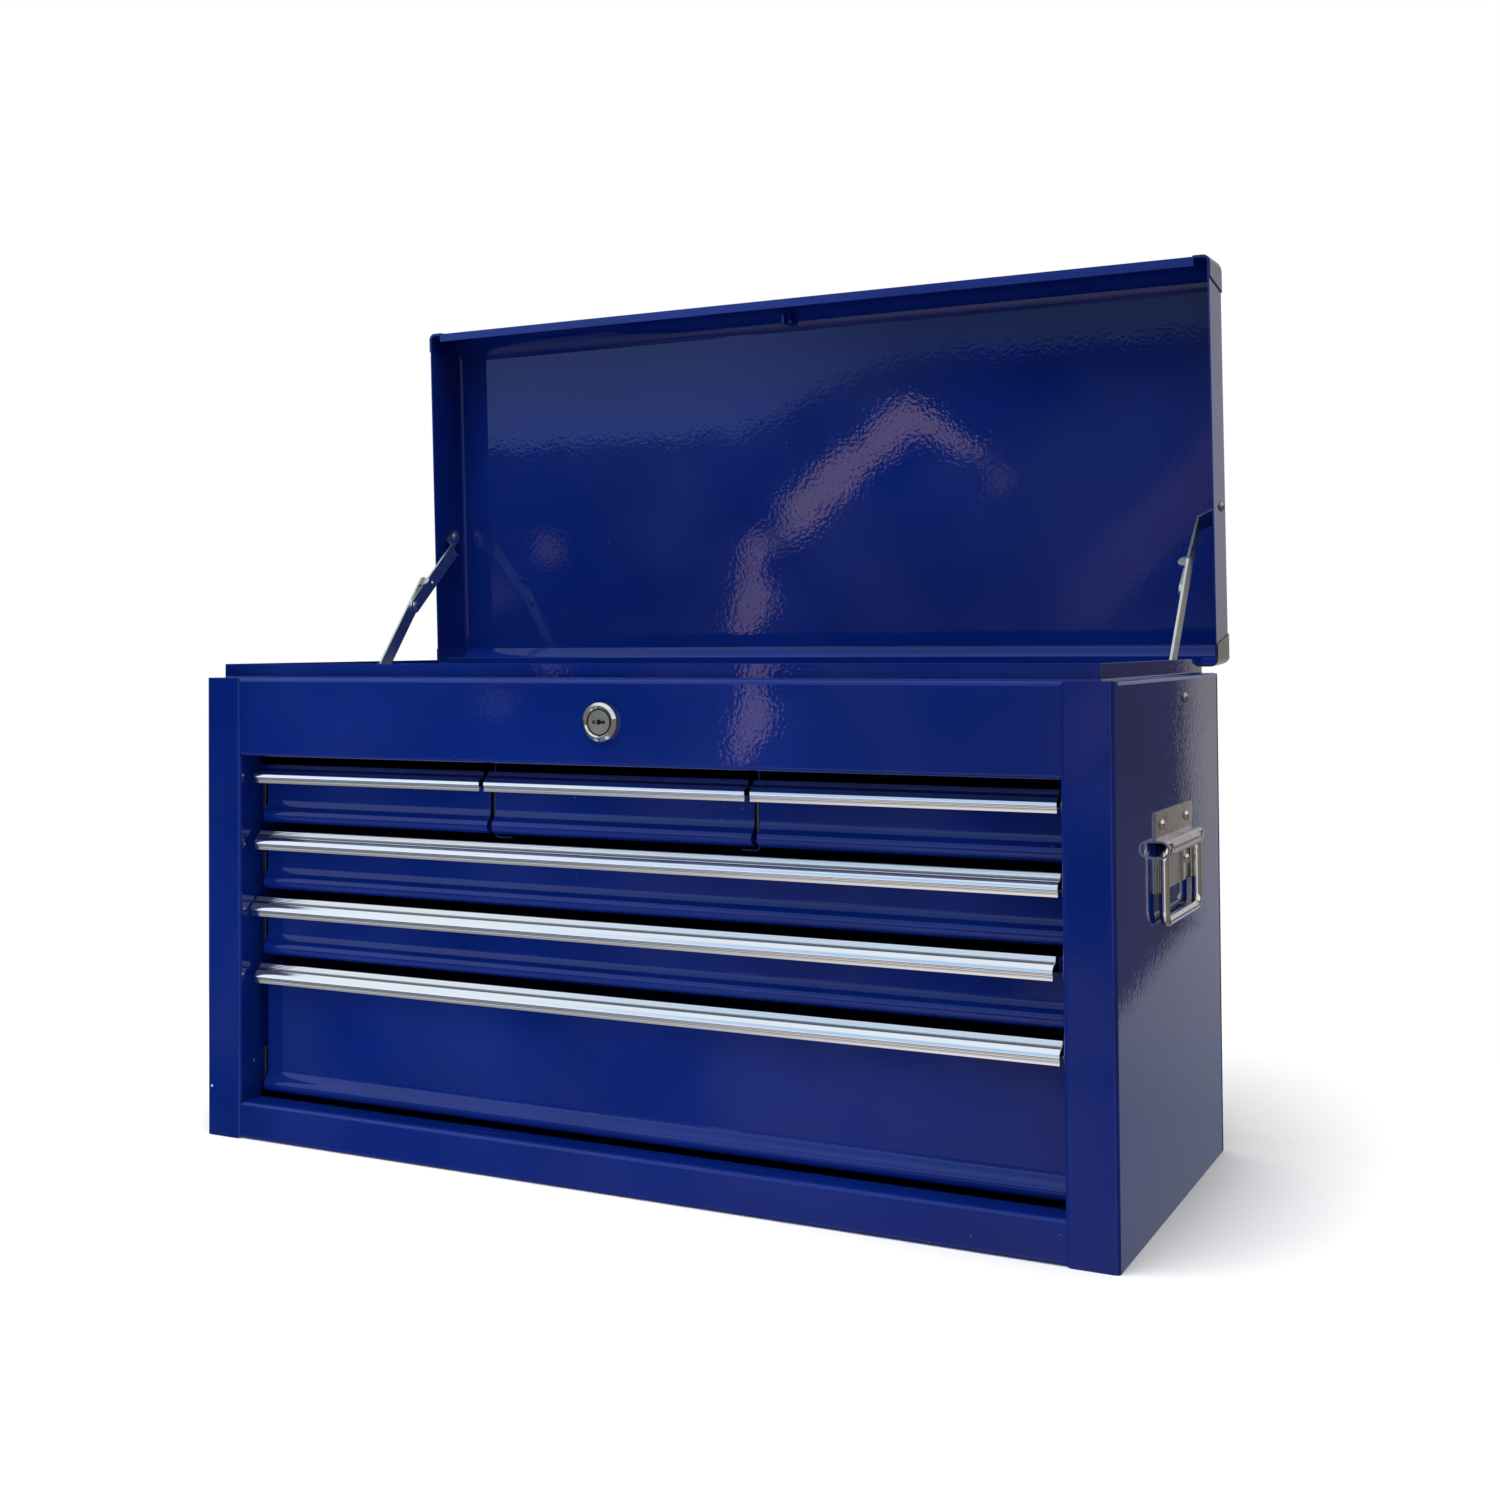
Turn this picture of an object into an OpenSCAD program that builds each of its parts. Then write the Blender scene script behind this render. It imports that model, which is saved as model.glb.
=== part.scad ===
// Portable tool chest with an open lid, a top tray and six ball-bearing drawers.
// Frame: X to the right, Y to the back, Z up. The origin is the middle of the
// cabinet's footprint, on the surface that it stands on. All sizes in millimetres.

/* [Cabinet] */
// Overall width across the side panels
body_w = 600; // [520:10:760]
// Depth from the stiles to the back panel
body_d = 260; // [240:5:360]
// Height of the shoulder that the closed lid rests on
body_h = 300; // [286:2:400]
// Thickness of the painted sheet
sheet = 1.0; // [0.8:0.1:1.2]
// Inner radius of the folds in the sheet
fold_r = 1.5; // [1:0.25:2]
// Width of the front stiles
stile_w = 28; // [24:1:34]
// Depth of the flange that turns inward from each stile
stile_return = 21; // [14:1:21]
// Radius of the inner corners of the stiles
stile_corner = 3.5; // [2:0.5:6]
// Height of the header above the drawers
header_h = 51; // [50:1:60]
// Height of the bottom rail
rail_h = 24; // [18:1:30]
// Distance of the slots in the bottom rail from the middle
slot_x = 90; // [40:5:180]
// Length of these slots
slot_l = 27; // [15:1:40]
// Width of these slots
slot_w = 1.6; // [1:0.1:3]
// Distance of these slots behind the front
slot_y = 9.5; // [7:0.5:14]
// Width of the weld flanges inside the cabinet
weld_flange = 12; // [9:1:14]

/* [Shoulder] */
// Width of the ledge around the tray
ledge_w = 8.5; // [8:0.5:10]
// Height of the rim above the ledge
rim_h = 9; // [6:0.5:10]
// Inner radius of the fold at the foot of the rim
rim_fold_r = 0.75; // [0.5:0.25:1.25]
// Distance that the side rims stop short of the back
rim_rear_gap = 5; // [4:0.5:8]
// Chamfer at the rear end of the side rims
rim_chamfer = 2.5; // [1:0.5:4]

/* [Drawers] */
// Height of a shallow drawer front
drawer_h = 39; // [39:0.5:40]
// Gap between one drawer front and the next
drawer_gap = 4.6; // [4:0.2:6]
// Gap between the header and the first row
top_gap = 6; // [5:0.5:8]
// Gap between the last drawer front and the bottom rail
rail_gap = 3; // [2:0.5:4]
// Gap between the drawer fronts and the stiles
side_gap = 4.5; // [3:0.5:6]
// Gap between two fronts of the first row
split_gap = 3.5; // [2.5:0.5:5]
// Depth of a drawer box behind its front
box_d = 205; // [190:5:210]
// Distance of a shallow drawer box's rim under the top of its front
box_drop = 11; // [10:0.5:12]
// Distance of the deep drawer box's rim under the top of its front
deep_drop = 19.2; // [16:0.4:34]
// Bulge of the drawer front at its foot
bulge = 4.5; // [3:0.25:5]
// Radius of the rounded foot of the drawer front
foot_r = 5; // [4:0.25:6]
// Radius of the hollow above the foot
hollow_r = 8; // [6:0.5:9]
// Distance of the pull's nose behind the stiles
nose_set = 9; // [8:0.5:12]

/* [Pulls] */
// Depth of the pull from the drawer face to its nose
pull_d = 13.5; // [12:0.5:14]
// Height of the pull
pull_h = 12; // [11:0.5:13]
// Wall of the extrusion
pull_wall = 1.4; // [1.1:0.1:1.6]
// Number of flutes on the sloping face
flutes = 5; // [3:1:6]
// Radius of a flute
flute_r = 0.4; // [0.2:0.05:0.5]
// Drop of the sloping face
slope_h = 5; // [4:0.5:6]
// Radius of the pull's nose
nose_r = 2.6; // [2:0.2:3]
// Sideways shift of the middle pull in its channel
pull_shift = 3.2; // [0:0.1:3.5]
// Depth of the fluted slope, measured on the flat
slope_w = 6.5; // [6:0.25:7]
// Reach of the pull's top behind the drawer face
pull_hook = 3; // [2:0.5:4]
// Step between the pull's nose and its lip
lip_step = 0.4; // [0.2:0.1:0.8]
// Radius of the groove in the lip
groove_r = 0.45; // [0.3:0.05:0.6]
// Height of this groove above the foot of the lip
groove_v = 1.7; // [1.2:0.1:2.5]

/* [Slides] */
// Width that a slide takes between the cabinet and the drawer box
slide_t = 10; // [9:0.5:12]
// Height of the cabinet member
slide_h = 26; // [24:0.5:27]
// Height of the drawer member
inner_h = 17; // [15:0.5:18]
// Length of a slide
slide_l = 200; // [180:5:210]
// Thickness of the slide members
slide_wall = 1.2; // [1:0.1:1.4]

/* [Lid] */
// Height of the lid's skirts
lid_h = 40; // [38:1:60]
// Amount by which the lid is narrower than the cabinet
lid_less = 2; // [1.8:0.2:3]
// Gap between the closed lid and the shoulder
lid_gap = 0.5; // [0.4:0.1:1]
// Width of the lips on the front and rear skirts
lip_w = 6; // [4:0.5:6.5]
// Radius of the lid's long front edge
lid_front_r = 18; // [10:1:20]
// Radius of the lid's long rear edge
lid_rear_r = 12; // [8:1:16]
// Radius of the lid's short edges and upright corners
lid_side_r = 4; // [3:0.5:6]
// Height of the foot of the lid's catch above the skirt's edge
catch_foot = 18; // [17:0.5:19]
// Height of the lid's catch
catch_h = 18; // [16:0.5:20]
// Depth of the lid's catch
catch_w = 14; // [13.5:0.25:15]
// Angle of the lid from closed, as it stands open
lid_open = 88; // [80:1:100]
// Thickness of the corner caps
cap_t = 0.8; // [0.6:0.1:0.9]
// Width of a corner cap at the free edge of the skirt
cap_low = 13; // [10:1:18]
// Width of a corner cap at the top of the lid
cap_high = 20; // [20:1:26]

/* [Hinge] */
// Distance of the pin behind the back panel
pin_back = 4.5; // [4.4:0.1:5]
// Outer diameter of the knuckles
knuckle_d = 8; // [7.6:0.2:8.2]
// Diameter of the hinge pin
pin_d = 3.2; // [3:0.1:3.6]
// Gap between the hinge and the corner caps
hinge_gap = 4; // [4:1:40]
// Number of knuckles
knuckles = 14; // [6:2:20]
// Thickness of the hinge leaves
leaf_t = 1.2; // [1:0.1:1.3]
// Height of the hinge leaves
leaf_h = 16; // [12:1:20]

/* [Lid stays] */
// Distance of the lower pivot in front of the hinge pin
stay_back = 98.2; // [95:0.5:102]
// Depth of the lower pivot under the shoulder
stay_drop = 13; // [12:0.5:16]
// Distance of the lid pivot from the hinge pin, towards the lid's free edge
stay_lid_v = 106; // [100:1:110]
// Distance of the lid pivot above the pin, with the lid closed
stay_lid_u = 24; // [22:0.5:26]
// Length of the lower link between its pivots
lower_l = 82.3; // [82:0.1:84]
// Length of the upper link between its pivots
upper_l = 86.9; // [86.5:0.1:88]
// Width of the links
link_w = 11; // [9:0.5:11]
// Thickness of the links
link_t = 1.5; // [1.2:0.1:1.6]
// Distance of the joggle's far end from the lid pivot
joggle_end = 9; // [8.5:0.5:12]
// Length of the joggle
joggle_l = 8; // [6:0.5:10]
// Distance of the small hole from the middle pivot
hole_at = 29; // [20:1:50]
// Length of the lower link beyond the middle pivot
tail_l = 27; // [24:1:30]
// Diameter of the pivots
pivot_d = 5; // [4:0.5:6]
// Height of the rivet heads that show on the sides
rivet_h = 2.3; // [1.4:0.1:2.6]
// Length of the stop lug along the link
lug_l = 8; // [6:0.5:9]
// Radial running clearance of the pins
run = 0.05; // [0.03:0.01:0.1]
// Free space between parts that pass each other
clear = 0.3; // [0.3:0.05:0.4]

/* [Lock] */
// Diameter of the lock's bezel
lock_d = 23; // [20:0.5:24]
// Diameter of the plug
plug_d = 16; // [12:0.5:16]
// Diameter of the barrel behind the header
barrel_d = 19; // [18:0.5:19]
// Projection of the bezel
bezel_t = 4.5; // [3:0.5:6]
// Distance of the lock's centre under the shoulder
lock_drop = 25; // [25:0.5:27]
// Length of the barrel behind the header
barrel_l = 8.5; // [8:0.25:9]
// Outer radius of the cam's hook
hook_r = 54.5; // [54:0.25:55]
// Radial width of the cam's hook
hook_w = 4.5; // [4:0.5:5]

/* [Side handles] */
// Width of the handle plate
plate_w = 91; // [76:1:100]
// Height of the handle plate
plate_h = 44; // [40:1:50]
// Thickness of the handle plate
plate_t = 1.2; // [1:0.1:1.5]
// Projection of the rolled channel
channel_x = 8.6; // [8.4:0.1:10]
// Height of the rolled channel
channel_h = 10; // [9.8:0.1:12]
// Diameter of the bail's rod
rod_d = 5.6; // [5:0.1:5.7]
// Width of the ring that closes each end of the channel
ring_w = 0.9; // [0.8:0.1:2]
// Drop of the bail from its pivot
bail_h = 40; // [34:1:46]
// Height of the plate's middle above the floor
plate_z = 204; // [180:1:210]
// Diameter of the rivet heads
rivet_d = 7; // [5:0.5:8]
// Distance of the rivets from the ends of the handle plate
rivet_inset = 15.2; // [14:0.2:18]

/* [Hidden] */
$fn = 48;
yf = -body_d / 2;
yb = body_d / 2;
xs = body_w / 2;
fold = fold_r + sheet;
// Half width between the inner folds of the side panels
in_x = xs - fold;
stile_x = xs - stile_w;
// Where the ledges of the side panels start, behind the rim of the header
ledge_y = yf + ledge_w + sheet + clear;
carrier_x = stile_x + sheet;
drawer_top = body_h - header_h - top_gap;
pitch = drawer_h + drawer_gap;
row_z = [for (i = [1:3]) drawer_top - i * drawer_h - (i - 1) * drawer_gap];
deep_z = rail_h + rail_gap;
deep_h = row_z[2] - drawer_gap - deep_z;
box_h = drawer_h - box_drop;
deep_box_h = deep_h - deep_drop;
front_w = 2 * (stile_x - side_gap);
small_w = (front_w - 2 * split_gap) / 3;
divider_x = small_w / 2 + split_gap / 2;
face_y = yf + nose_set + pull_d;
slide_y = face_y + sheet + 2;
slide_z = box_h / 2 + 1;
lid_x = xs - lid_less / 2;
lid_z = body_h + lid_gap;
pin_y = yb + pin_back;
pin_z = body_h;
tray_z = body_h - header_h + sheet;
// Middle plane of the folded stay, just inside the side rims
link_x = xs - ledge_w - sheet - clear - link_t;
over_x = link_x - clear / 2 - link_t;
head_t = 1.5;
lower_pt = [pin_y - stay_back, body_h - stay_drop];
lid_closed = [pin_y - stay_lid_v, pin_z + stay_lid_u];
function turn(p, a) = [p[0] * cos(a) - p[1] * sin(a), p[0] * sin(a) + p[1] * cos(a)];
upper_pt = [pin_y, pin_z] + turn(lid_closed - [pin_y, pin_z], -lid_open);
// Middle pivot: where circles about the two outer pivots meet, on the front side
stay_span = norm(upper_pt - lower_pt);
stay_dir = (upper_pt - lower_pt) / stay_span;
stay_a = (lower_l * lower_l - upper_l * upper_l + stay_span * stay_span) / (2 * stay_span);
stay_b = sqrt(max(0, lower_l * lower_l - stay_a * stay_a));
mid_pt = lower_pt + stay_a * stay_dir + stay_b * [-stay_dir[1], stay_dir[0]];
lower_ang = atan2(mid_pt[1] - lower_pt[1], mid_pt[0] - lower_pt[0]);
upper_ang = atan2(upper_pt[1] - mid_pt[1], upper_pt[0] - mid_pt[0]);
lock_z = body_h - lock_drop;
cam_y = yf + sheet + barrel_l + 0.6;
cam_t = 1.5;
hook_turn = 12;
catch_x = -5;
catch_t = 1.8;
hook_z = lock_z + hook_r - hook_w;
pivot_z = plate_z + 2;
bail_half = plate_w / 2 - ring_w - clear - rod_d / 2;
bend_r = 7;
pivot_x = xs + plate_t + clear + rod_d / 2;
channel_c = [xs + channel_x - channel_h / 2, pivot_z];
rivet_y = plate_w / 2 - rivet_inset;
rivet_z = channel_h / 2 + rivet_d / 2 + 3.9;
// Walls and boxes behind the drawer fronts
carrier_z0 = rail_h + 2;
carrier_z1 = tray_z - weld_flange - 1;
box_wide = carrier_x - slide_t;
box_mid = divider_x - sheet / 2 - slide_t;
box_in = divider_x + sheet / 2 + slide_t;
// Section of a drawer front, with u forwards from its flat face and v up from its foot:
// a round foot that runs tangentially into a hollow
foot_c = [bulge - foot_r, foot_r];
hollow_v = foot_r + sqrt(pow(foot_r + hollow_r, 2) - pow(foot_r + hollow_r - bulge, 2));
hollow_c = [hollow_r, hollow_v];
meet = (hollow_c - foot_c) / (foot_r + hollow_r);
// Section of a pull, with u forwards from the drawer face and v up from its top:
// a fluted slope that runs tangentially into the nose
nose_c = [pull_d - nose_r, -slope_h - nose_r];
slope_0 = [pull_d - slope_w, 0];
slope_l = norm(nose_c - slope_0);
slope_a = atan2(nose_c[1] - slope_0[1], nose_c[0] - slope_0[0]) + asin(nose_r / slope_l);
slope_n = [-sin(slope_a), cos(slope_a)];
slope_1 = nose_c + nose_r * slope_n;
slope_in = nose_c + (nose_r - pull_wall) * slope_n;
slope_top = slope_in[0] + (-pull_wall - slope_in[1]) / tan(slope_a);
lip_u = pull_d - pull_wall - lip_step;
back_rise = 1;
nose_turn = 140;
// Parts of the lid
lip_side = ledge_w + sheet;
flat_head = 0.8;
joggle = [upper_l - joggle_end - joggle_l, upper_l - joggle_end];
lid_link_x = lid_x - sheet - flat_head - clear - link_t;
hinge_l = 2 * (lid_x - cap_low - hinge_gap);
knuckle_p = hinge_l / knuckles;

// ---- building blocks ----

// A flat outline in Y and Z, drawn out evenly to both sides along X
module along_x(w) {
  rotate([90, 0, 90]) linear_extrude(w, center = true) children();
}

// A flat outline in X and Z, drawn out along Y from y0 to y1
module along_y(y0, y1) {
  translate([0, y1, 0]) rotate([90, 0, 0]) linear_extrude(y1 - y0) children();
}

// One fold of a strip: a ring sector from angle a0, turning through a
module fold_sector(r, t, a0, a) {
  far = 2 * (r + t);
  intersection() {
    difference() {
      circle(r + t);
      if (r > 0) circle(r);
    }
    polygon([[0, 0], far * [cos(a0), sin(a0)], far * [cos(a0 + a / 2), sin(a0 + a / 2)],
      far * [cos(a0 + a), sin(a0 + a)]]);
  }
}

// Folded sheet in section. A step is [straight length, angle of the fold, inner radius];
// the sheet lies to the left of the way it runs, and positive angles fold it to the left.
module strip(steps, t, i = 0) {
  if (i < len(steps)) {
    s = steps[i];
    if (s[0] > 0) square([s[0], t]);
    c = s[1] > 0 ? t + s[2] : -s[2];
    if (s[1] != 0)
      translate([s[0], c])
        fold_sector(s[2], t, s[1] > 0 ? -90 : 90, s[1]);
    if (i + 1 < len(steps))
      translate([s[0], c]) rotate(s[1]) translate([0, -c]) strip(steps, t, i + 1);
  }
}

// Rectangle with its own radius at each of the two upper corners
module arch2d(u0, u1, v0, v1, r0, r1) {
  difference() {
    translate([u0, v0]) square([u1 - u0, v1 - v0]);
    translate([u0, v1 - r0]) square([r0, r0]);
    translate([u1 - r1, v1 - r1]) square([r1, r1]);
  }
  intersection() {
    translate([u0 + r0, v1 - r0]) circle(r0);
    translate([u0, v1 - r0]) square([r0, r0]);
  }
  intersection() {
    translate([u1 - r1, v1 - r1]) circle(r1);
    translate([u1 - r1, v1 - r1]) square([r1, r1]);
  }
}

// Rounded rectangle about the middle
module round_rect(w, h, r) {
  square([w - 2 * r, h], center = true);
  square([w, h - 2 * r], center = true);
  for (i = [-1, 1], j = [-1, 1]) translate([i * (w / 2 - r), j * (h / 2 - r)]) circle(r);
}

// Domed rivet head that stands on the plane z = 0
module dome_head(d, h) {
  ball = (d * d / 4 + h * h) / (2 * h);
  rotate_extrude() intersection() {
    translate([0, h - ball]) circle(ball, $fn = 96);
    square([d / 2, h]);
  }
}

// ---- cabinet ----

module side_panel() {
  color("navy") {
    difference() {
      linear_extrude(body_h)
        translate([stile_x, yf + stile_return]) rotate(-90)
          strip([[stile_return - fold, 90, fold_r], [stile_w - 2 * fold, 90, fold_r],
            [body_d - sheet - 2 * fold, 90, fold_r], [weld_flange - fold, 0, 0]], sheet);
      // the sheet turns over into the ledge behind the header
      translate([stile_x - 1, ledge_y, body_h - fold])
        cube([stile_w + 2, body_d, fold + 1]);
      // the return flange is only as high as the drawer opening
      translate([stile_x - 1, yf + sheet, body_h - header_h - clear])
        cube([stile_w - fold, stile_return, header_h + 1]);
      translate([stile_x - 1, yf + sheet, -1]) cube([stile_w - fold, stile_return, rail_h + 1 + clear]);
      // rounded inner corners of the stile
      for (m = [0, 1]) translate([0, 0, m * body_h]) mirror([0, 0, m])
        translate([stile_x - 1, yf - 1, body_h - stile_corner]) difference() {
          cube([stile_corner + 1, sheet + 2, stile_corner + 1]);
          translate([stile_corner + 1, -1, 0]) rotate([-90, 0, 0])
            cylinder(r = stile_corner, h = sheet + 4);
        }
    }
    difference() {
      along_y(ledge_y, yb - sheet)
        translate([xs, body_h - fold]) rotate(90)
          strip([[0, 90, fold_r], [ledge_w - fold - rim_fold_r, -90, rim_fold_r],
            [rim_h - rim_fold_r, 0, 0]], sheet);
      // the rim ends short of the back, with a chamfer
      along_x_at(xs - ledge_w - sheet / 2, 4 * sheet)
        polygon([[yb - rim_rear_gap, body_h], [yb + 1, body_h], [yb + 1, body_h + rim_h + 1],
          [yb - rim_rear_gap - rim_chamfer - 1, body_h + rim_h + 1],
          [yb - rim_rear_gap - rim_chamfer, body_h + rim_h],
          [yb - rim_rear_gap, body_h + rim_h - rim_chamfer]]);
    }
  }
}

// As along_x, about the plane x
module along_x_at(x, w) {
  translate([x, 0, 0]) along_x(w) children();
}

module bored_side_panel() {
  color("navy") difference() {
    side_panel();
    translate([xs - 5, lower_pt[0], lower_pt[1]]) rotate([0, 90, 0]) cylinder(d = pivot_d, h = 10);
    for (y = [-1, 1], z = [-1, 1])
      translate([xs - 5, y * rivet_y, pivot_z + z * rivet_z]) rotate([0, 90, 0])
        cylinder(d = rivet_d / 2, h = 10);
  }
}

module side_panel_left() { mirror([1, 0, 0]) bored_side_panel(); }
module side_panel_right() { bored_side_panel(); }

module back_panel() {
  color("navy") difference() {
    along_x(body_w)
      translate([yb, 0]) rotate(90)
        strip([[body_h - fold, 90, fold_r], [weld_flange - fold, 0, 0]], sheet);
    // its flange lies between the ledges of the side panels
    for (i = [0, 1]) mirror([i, 0, 0])
      translate([xs - ledge_w - sheet - clear, yb - weld_flange - 1, body_h - fold])
        cube([ledge_w + 2 * sheet, weld_flange + 1 - sheet, fold + 1]);
  }
}

module base_pan() {
  color("navy") difference() {
    along_x(2 * in_x)
      translate([yf + stile_return - 2, rail_h]) rotate(180)
        strip([[stile_return - 2 - sheet - fold, 90, fold_r], [rail_h - 2 * fold, 90, fold_r],
          [body_d - 3 * sheet - 2 * fold, 90, fold_r], [weld_flange - fold, 0, 0]], sheet);
    // slots in the top of the bottom rail
    for (i = [0, 1]) mirror([i, 0, 0])
      translate([slot_x - slot_l / 2, yf + slot_y - slot_w / 2, rail_h - 3]) cube([slot_l, slot_w, 6]);
  }
}

module header_panel() {
  color("navy") difference() {
    along_x(2 * (xs - sheet))
      translate([yf + ledge_w, body_h + rim_h]) rotate(-90)
        strip([[rim_h - rim_fold_r, -90, rim_fold_r],
          [ledge_w - sheet - rim_fold_r - fold, 90, fold_r],
          [header_h - 2 * fold, 90, fold_r], [weld_flange - fold, 0, 0]], sheet);
    for (i = [0, 1]) mirror([i, 0, 0]) {
      // the front rim ends in line with the side rims
      translate([xs - ledge_w, yf + ledge_w - 1, body_h]) cube([ledge_w, 3, rim_h + 1]);
      // notch for the fold between the stile and the side
      translate([in_x, yf, tray_z - 2 * sheet]) cube([fold, sheet + fold, header_h + rim_h]);
    }
    translate([0, yf, lock_z]) rotate([-90, 0, 0]) cylinder(d = barrel_d + 2 * run, h = 10);
  }
}

module tray_floor() {
  color("navy") difference() {
    along_y(yf + sheet + fold + clear, yb - sheet - fold)
      translate([xs - sheet, tray_z + sheet - weld_flange]) rotate(90)
        strip([[weld_flange - fold, 90, fold_r], [2 * (xs - sheet) - 2 * fold, 90, fold_r],
          [weld_flange - fold, 0, 0]], sheet);
    // only the flat floor rests on the header's lower flange
    for (i = [0, 1]) mirror([i, 0, 0])
      translate([xs - sheet - fold, yf, tray_z - weld_flange])
        cube([fold + 1, weld_flange + 2 * sheet, weld_flange + 2 * sheet]);
  }
}

// Inner wall that carries the slides beside the drawer opening
module carrier_right() {
  color("navy") along_y(yf + stile_return - weld_flange, yb - weld_flange - 2)
    translate([xs - sheet, carrier_z0 + sheet]) rotate(180)
      strip([[xs - sheet - carrier_x - fold, -90, fold_r],
        [carrier_z1 - carrier_z0 - 2 * fold, -90, fold_r],
        [xs - sheet - carrier_x - fold, 0, 0]], sheet);
}
module carrier_left() { mirror([1, 0, 0]) carrier_right(); }

// Partition between two drawers of the first row, hung from the tray floor
module divider_right() {
  z0 = row_z[0] - drawer_gap / 2 - sheet / 2;
  color("navy") along_y(slide_y, yb - weld_flange - 2)
    translate([divider_x + sheet / 2 - weld_flange, z0])
      strip([[weld_flange - fold, 90, fold_r], [tray_z - z0 - 2 * fold, 90, fold_r],
        [weld_flange - fold, 0, 0]], sheet);
}
module divider_left() { mirror([1, 0, 0]) divider_right(); }

// ---- slides ----

// Cabinet member, standing on a wall at x and reaching out towards dir
module rail(x, dir, z) {
  translate([x, 0, z]) mirror([dir < 0 ? 1 : 0, 0, 0])
    along_y(slide_y, slide_y + slide_l) difference() {
      translate([0, -slide_h / 2]) square([slide_t - 2 * slide_wall, slide_h]);
      translate([slide_wall, -slide_h / 2 + slide_wall])
        square([slide_t, slide_h - 2 * slide_wall]);
    }
}

// Drawer member on the box side that faces the same wall
module runner(x, dir, z) {
  translate([x, 0, z]) mirror([dir < 0 ? 1 : 0, 0, 0])
    along_y(slide_y, slide_y + slide_l) difference() {
      translate([2 * slide_wall, -inner_h / 2]) square([slide_t - 2 * slide_wall, inner_h]);
      translate([0, -inner_h / 2 + slide_wall])
        square([slide_t - slide_wall, inner_h - 2 * slide_wall]);
    }
}

module rails_row1() {
  color("silver") for (i = [0, 1]) mirror([i, 0, 0]) {
    rail(carrier_x, -1, row_z[0] + slide_z);
    rail(divider_x + sheet / 2, 1, row_z[0] + slide_z);
    rail(divider_x - sheet / 2, -1, row_z[0] + slide_z);
  }
}
module wide_rails(z) {
  color("silver") for (i = [0, 1]) mirror([i, 0, 0]) rail(carrier_x, -1, z + slide_z);
}
module rails_row2() { wide_rails(row_z[1]); }
module rails_row3() { wide_rails(row_z[2]); }
module rails_row4() { wide_rails(deep_z); }

module wide_runners(z) {
  color("silver") for (i = [0, 1]) mirror([i, 0, 0]) runner(carrier_x, -1, z + slide_z);
}
module runners_small_right() {
  color("silver") {
    runner(carrier_x, -1, row_z[0] + slide_z);
    runner(divider_x + sheet / 2, 1, row_z[0] + slide_z);
  }
}
module runners_small_left() { mirror([1, 0, 0]) runners_small_right(); }
module runners_small_mid() {
  color("silver") for (i = [0, 1]) mirror([i, 0, 0])
    runner(divider_x - sheet / 2, -1, row_z[0] + slide_z);
}
module runners_upper() { wide_runners(row_z[1]); }
module runners_middle() { wide_runners(row_z[2]); }
module runners_deep() { wide_runners(deep_z); }

// ---- drawers ----

// Round foot and hollow of the drawer front, inset by o
module foot2d(o, left) {
  difference() {
    union() {
      polygon([[left, o], [foot_c[0], o], foot_c + (foot_r - o) * meet, [-o, hollow_v], [left, hollow_v]]);
      intersection() {
        translate(foot_c) circle(foot_r - o, $fn = 96);
        translate([left, o]) square([2 * foot_r, 2 * foot_r]);
      }
    }
    translate(hollow_c) circle(hollow_r + o, $fn = 96);
  }
}

// Outline with u pointing to the front
module facing(y, z) {
  translate([y, z]) mirror([1, 0]) children();
}

module front(x0, x1, z, h) {
  top = h - pull_wall;
  mid = (x0 + x1) / 2;
  along_x_at(mid, x1 - x0) facing(face_y, z) {
    difference() {
      foot2d(0, -sheet);
      foot2d(sheet, -sheet - 1);
    }
    translate([-sheet, hollow_v]) square([sheet, top - hollow_v]);
    translate([-pull_wall - 6, top - sheet]) square([pull_wall + 6, sheet]);
  }
  // folded ends close the bulge
  for (x = [x0 + sheet / 2, x1 - sheet / 2])
    along_x_at(x, sheet) facing(face_y, z) foot2d(0, -sheet);
}

module box(x0, x1, z, h) {
  y1 = face_y + sheet + box_d;
  translate([x0, face_y, z]) cube([x1 - x0, y1 - face_y, sheet]);
  for (x = [x0, x1 - sheet]) translate([x, face_y + sheet / 2, z]) cube([sheet, box_d + sheet / 2, h]);
  translate([x0, y1 - sheet, z]) cube([x1 - x0, sheet, h]);
  // safety edge turned over along the sides and the back
  for (x = [x0 + sheet, x1 - 3 * sheet]) translate([x - sheet / 2, face_y + sheet / 2, z + h - sheet])
    cube([2.5 * sheet, box_d, sheet]);
  translate([x0, y1 - 3 * sheet, z + h - sheet]) cube([x1 - x0, 3 * sheet, sheet]);
}

module wide_drawer(z, h, bh) {
  color("navy") {
    front(-front_w / 2, front_w / 2, z, h);
    box(-box_wide, box_wide, z, bh);
  }
}
module drawer_small_mid() {
  color("navy") {
    front(-small_w / 2, small_w / 2, row_z[0], drawer_h);
    box(-box_mid, box_mid, row_z[0], box_h);
  }
}
module drawer_small_right() {
  color("navy") {
    front(small_w / 2 + split_gap, front_w / 2, row_z[0], drawer_h);
    box(box_in, box_wide, row_z[0], box_h);
  }
}
module drawer_small_left() { mirror([1, 0, 0]) drawer_small_right(); }
module drawer_upper() { wide_drawer(row_z[1], drawer_h, box_h); }
module drawer_middle() { wide_drawer(row_z[2], drawer_h, box_h); }
module drawer_deep() { wide_drawer(deep_z, deep_h, deep_box_h); }

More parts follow.
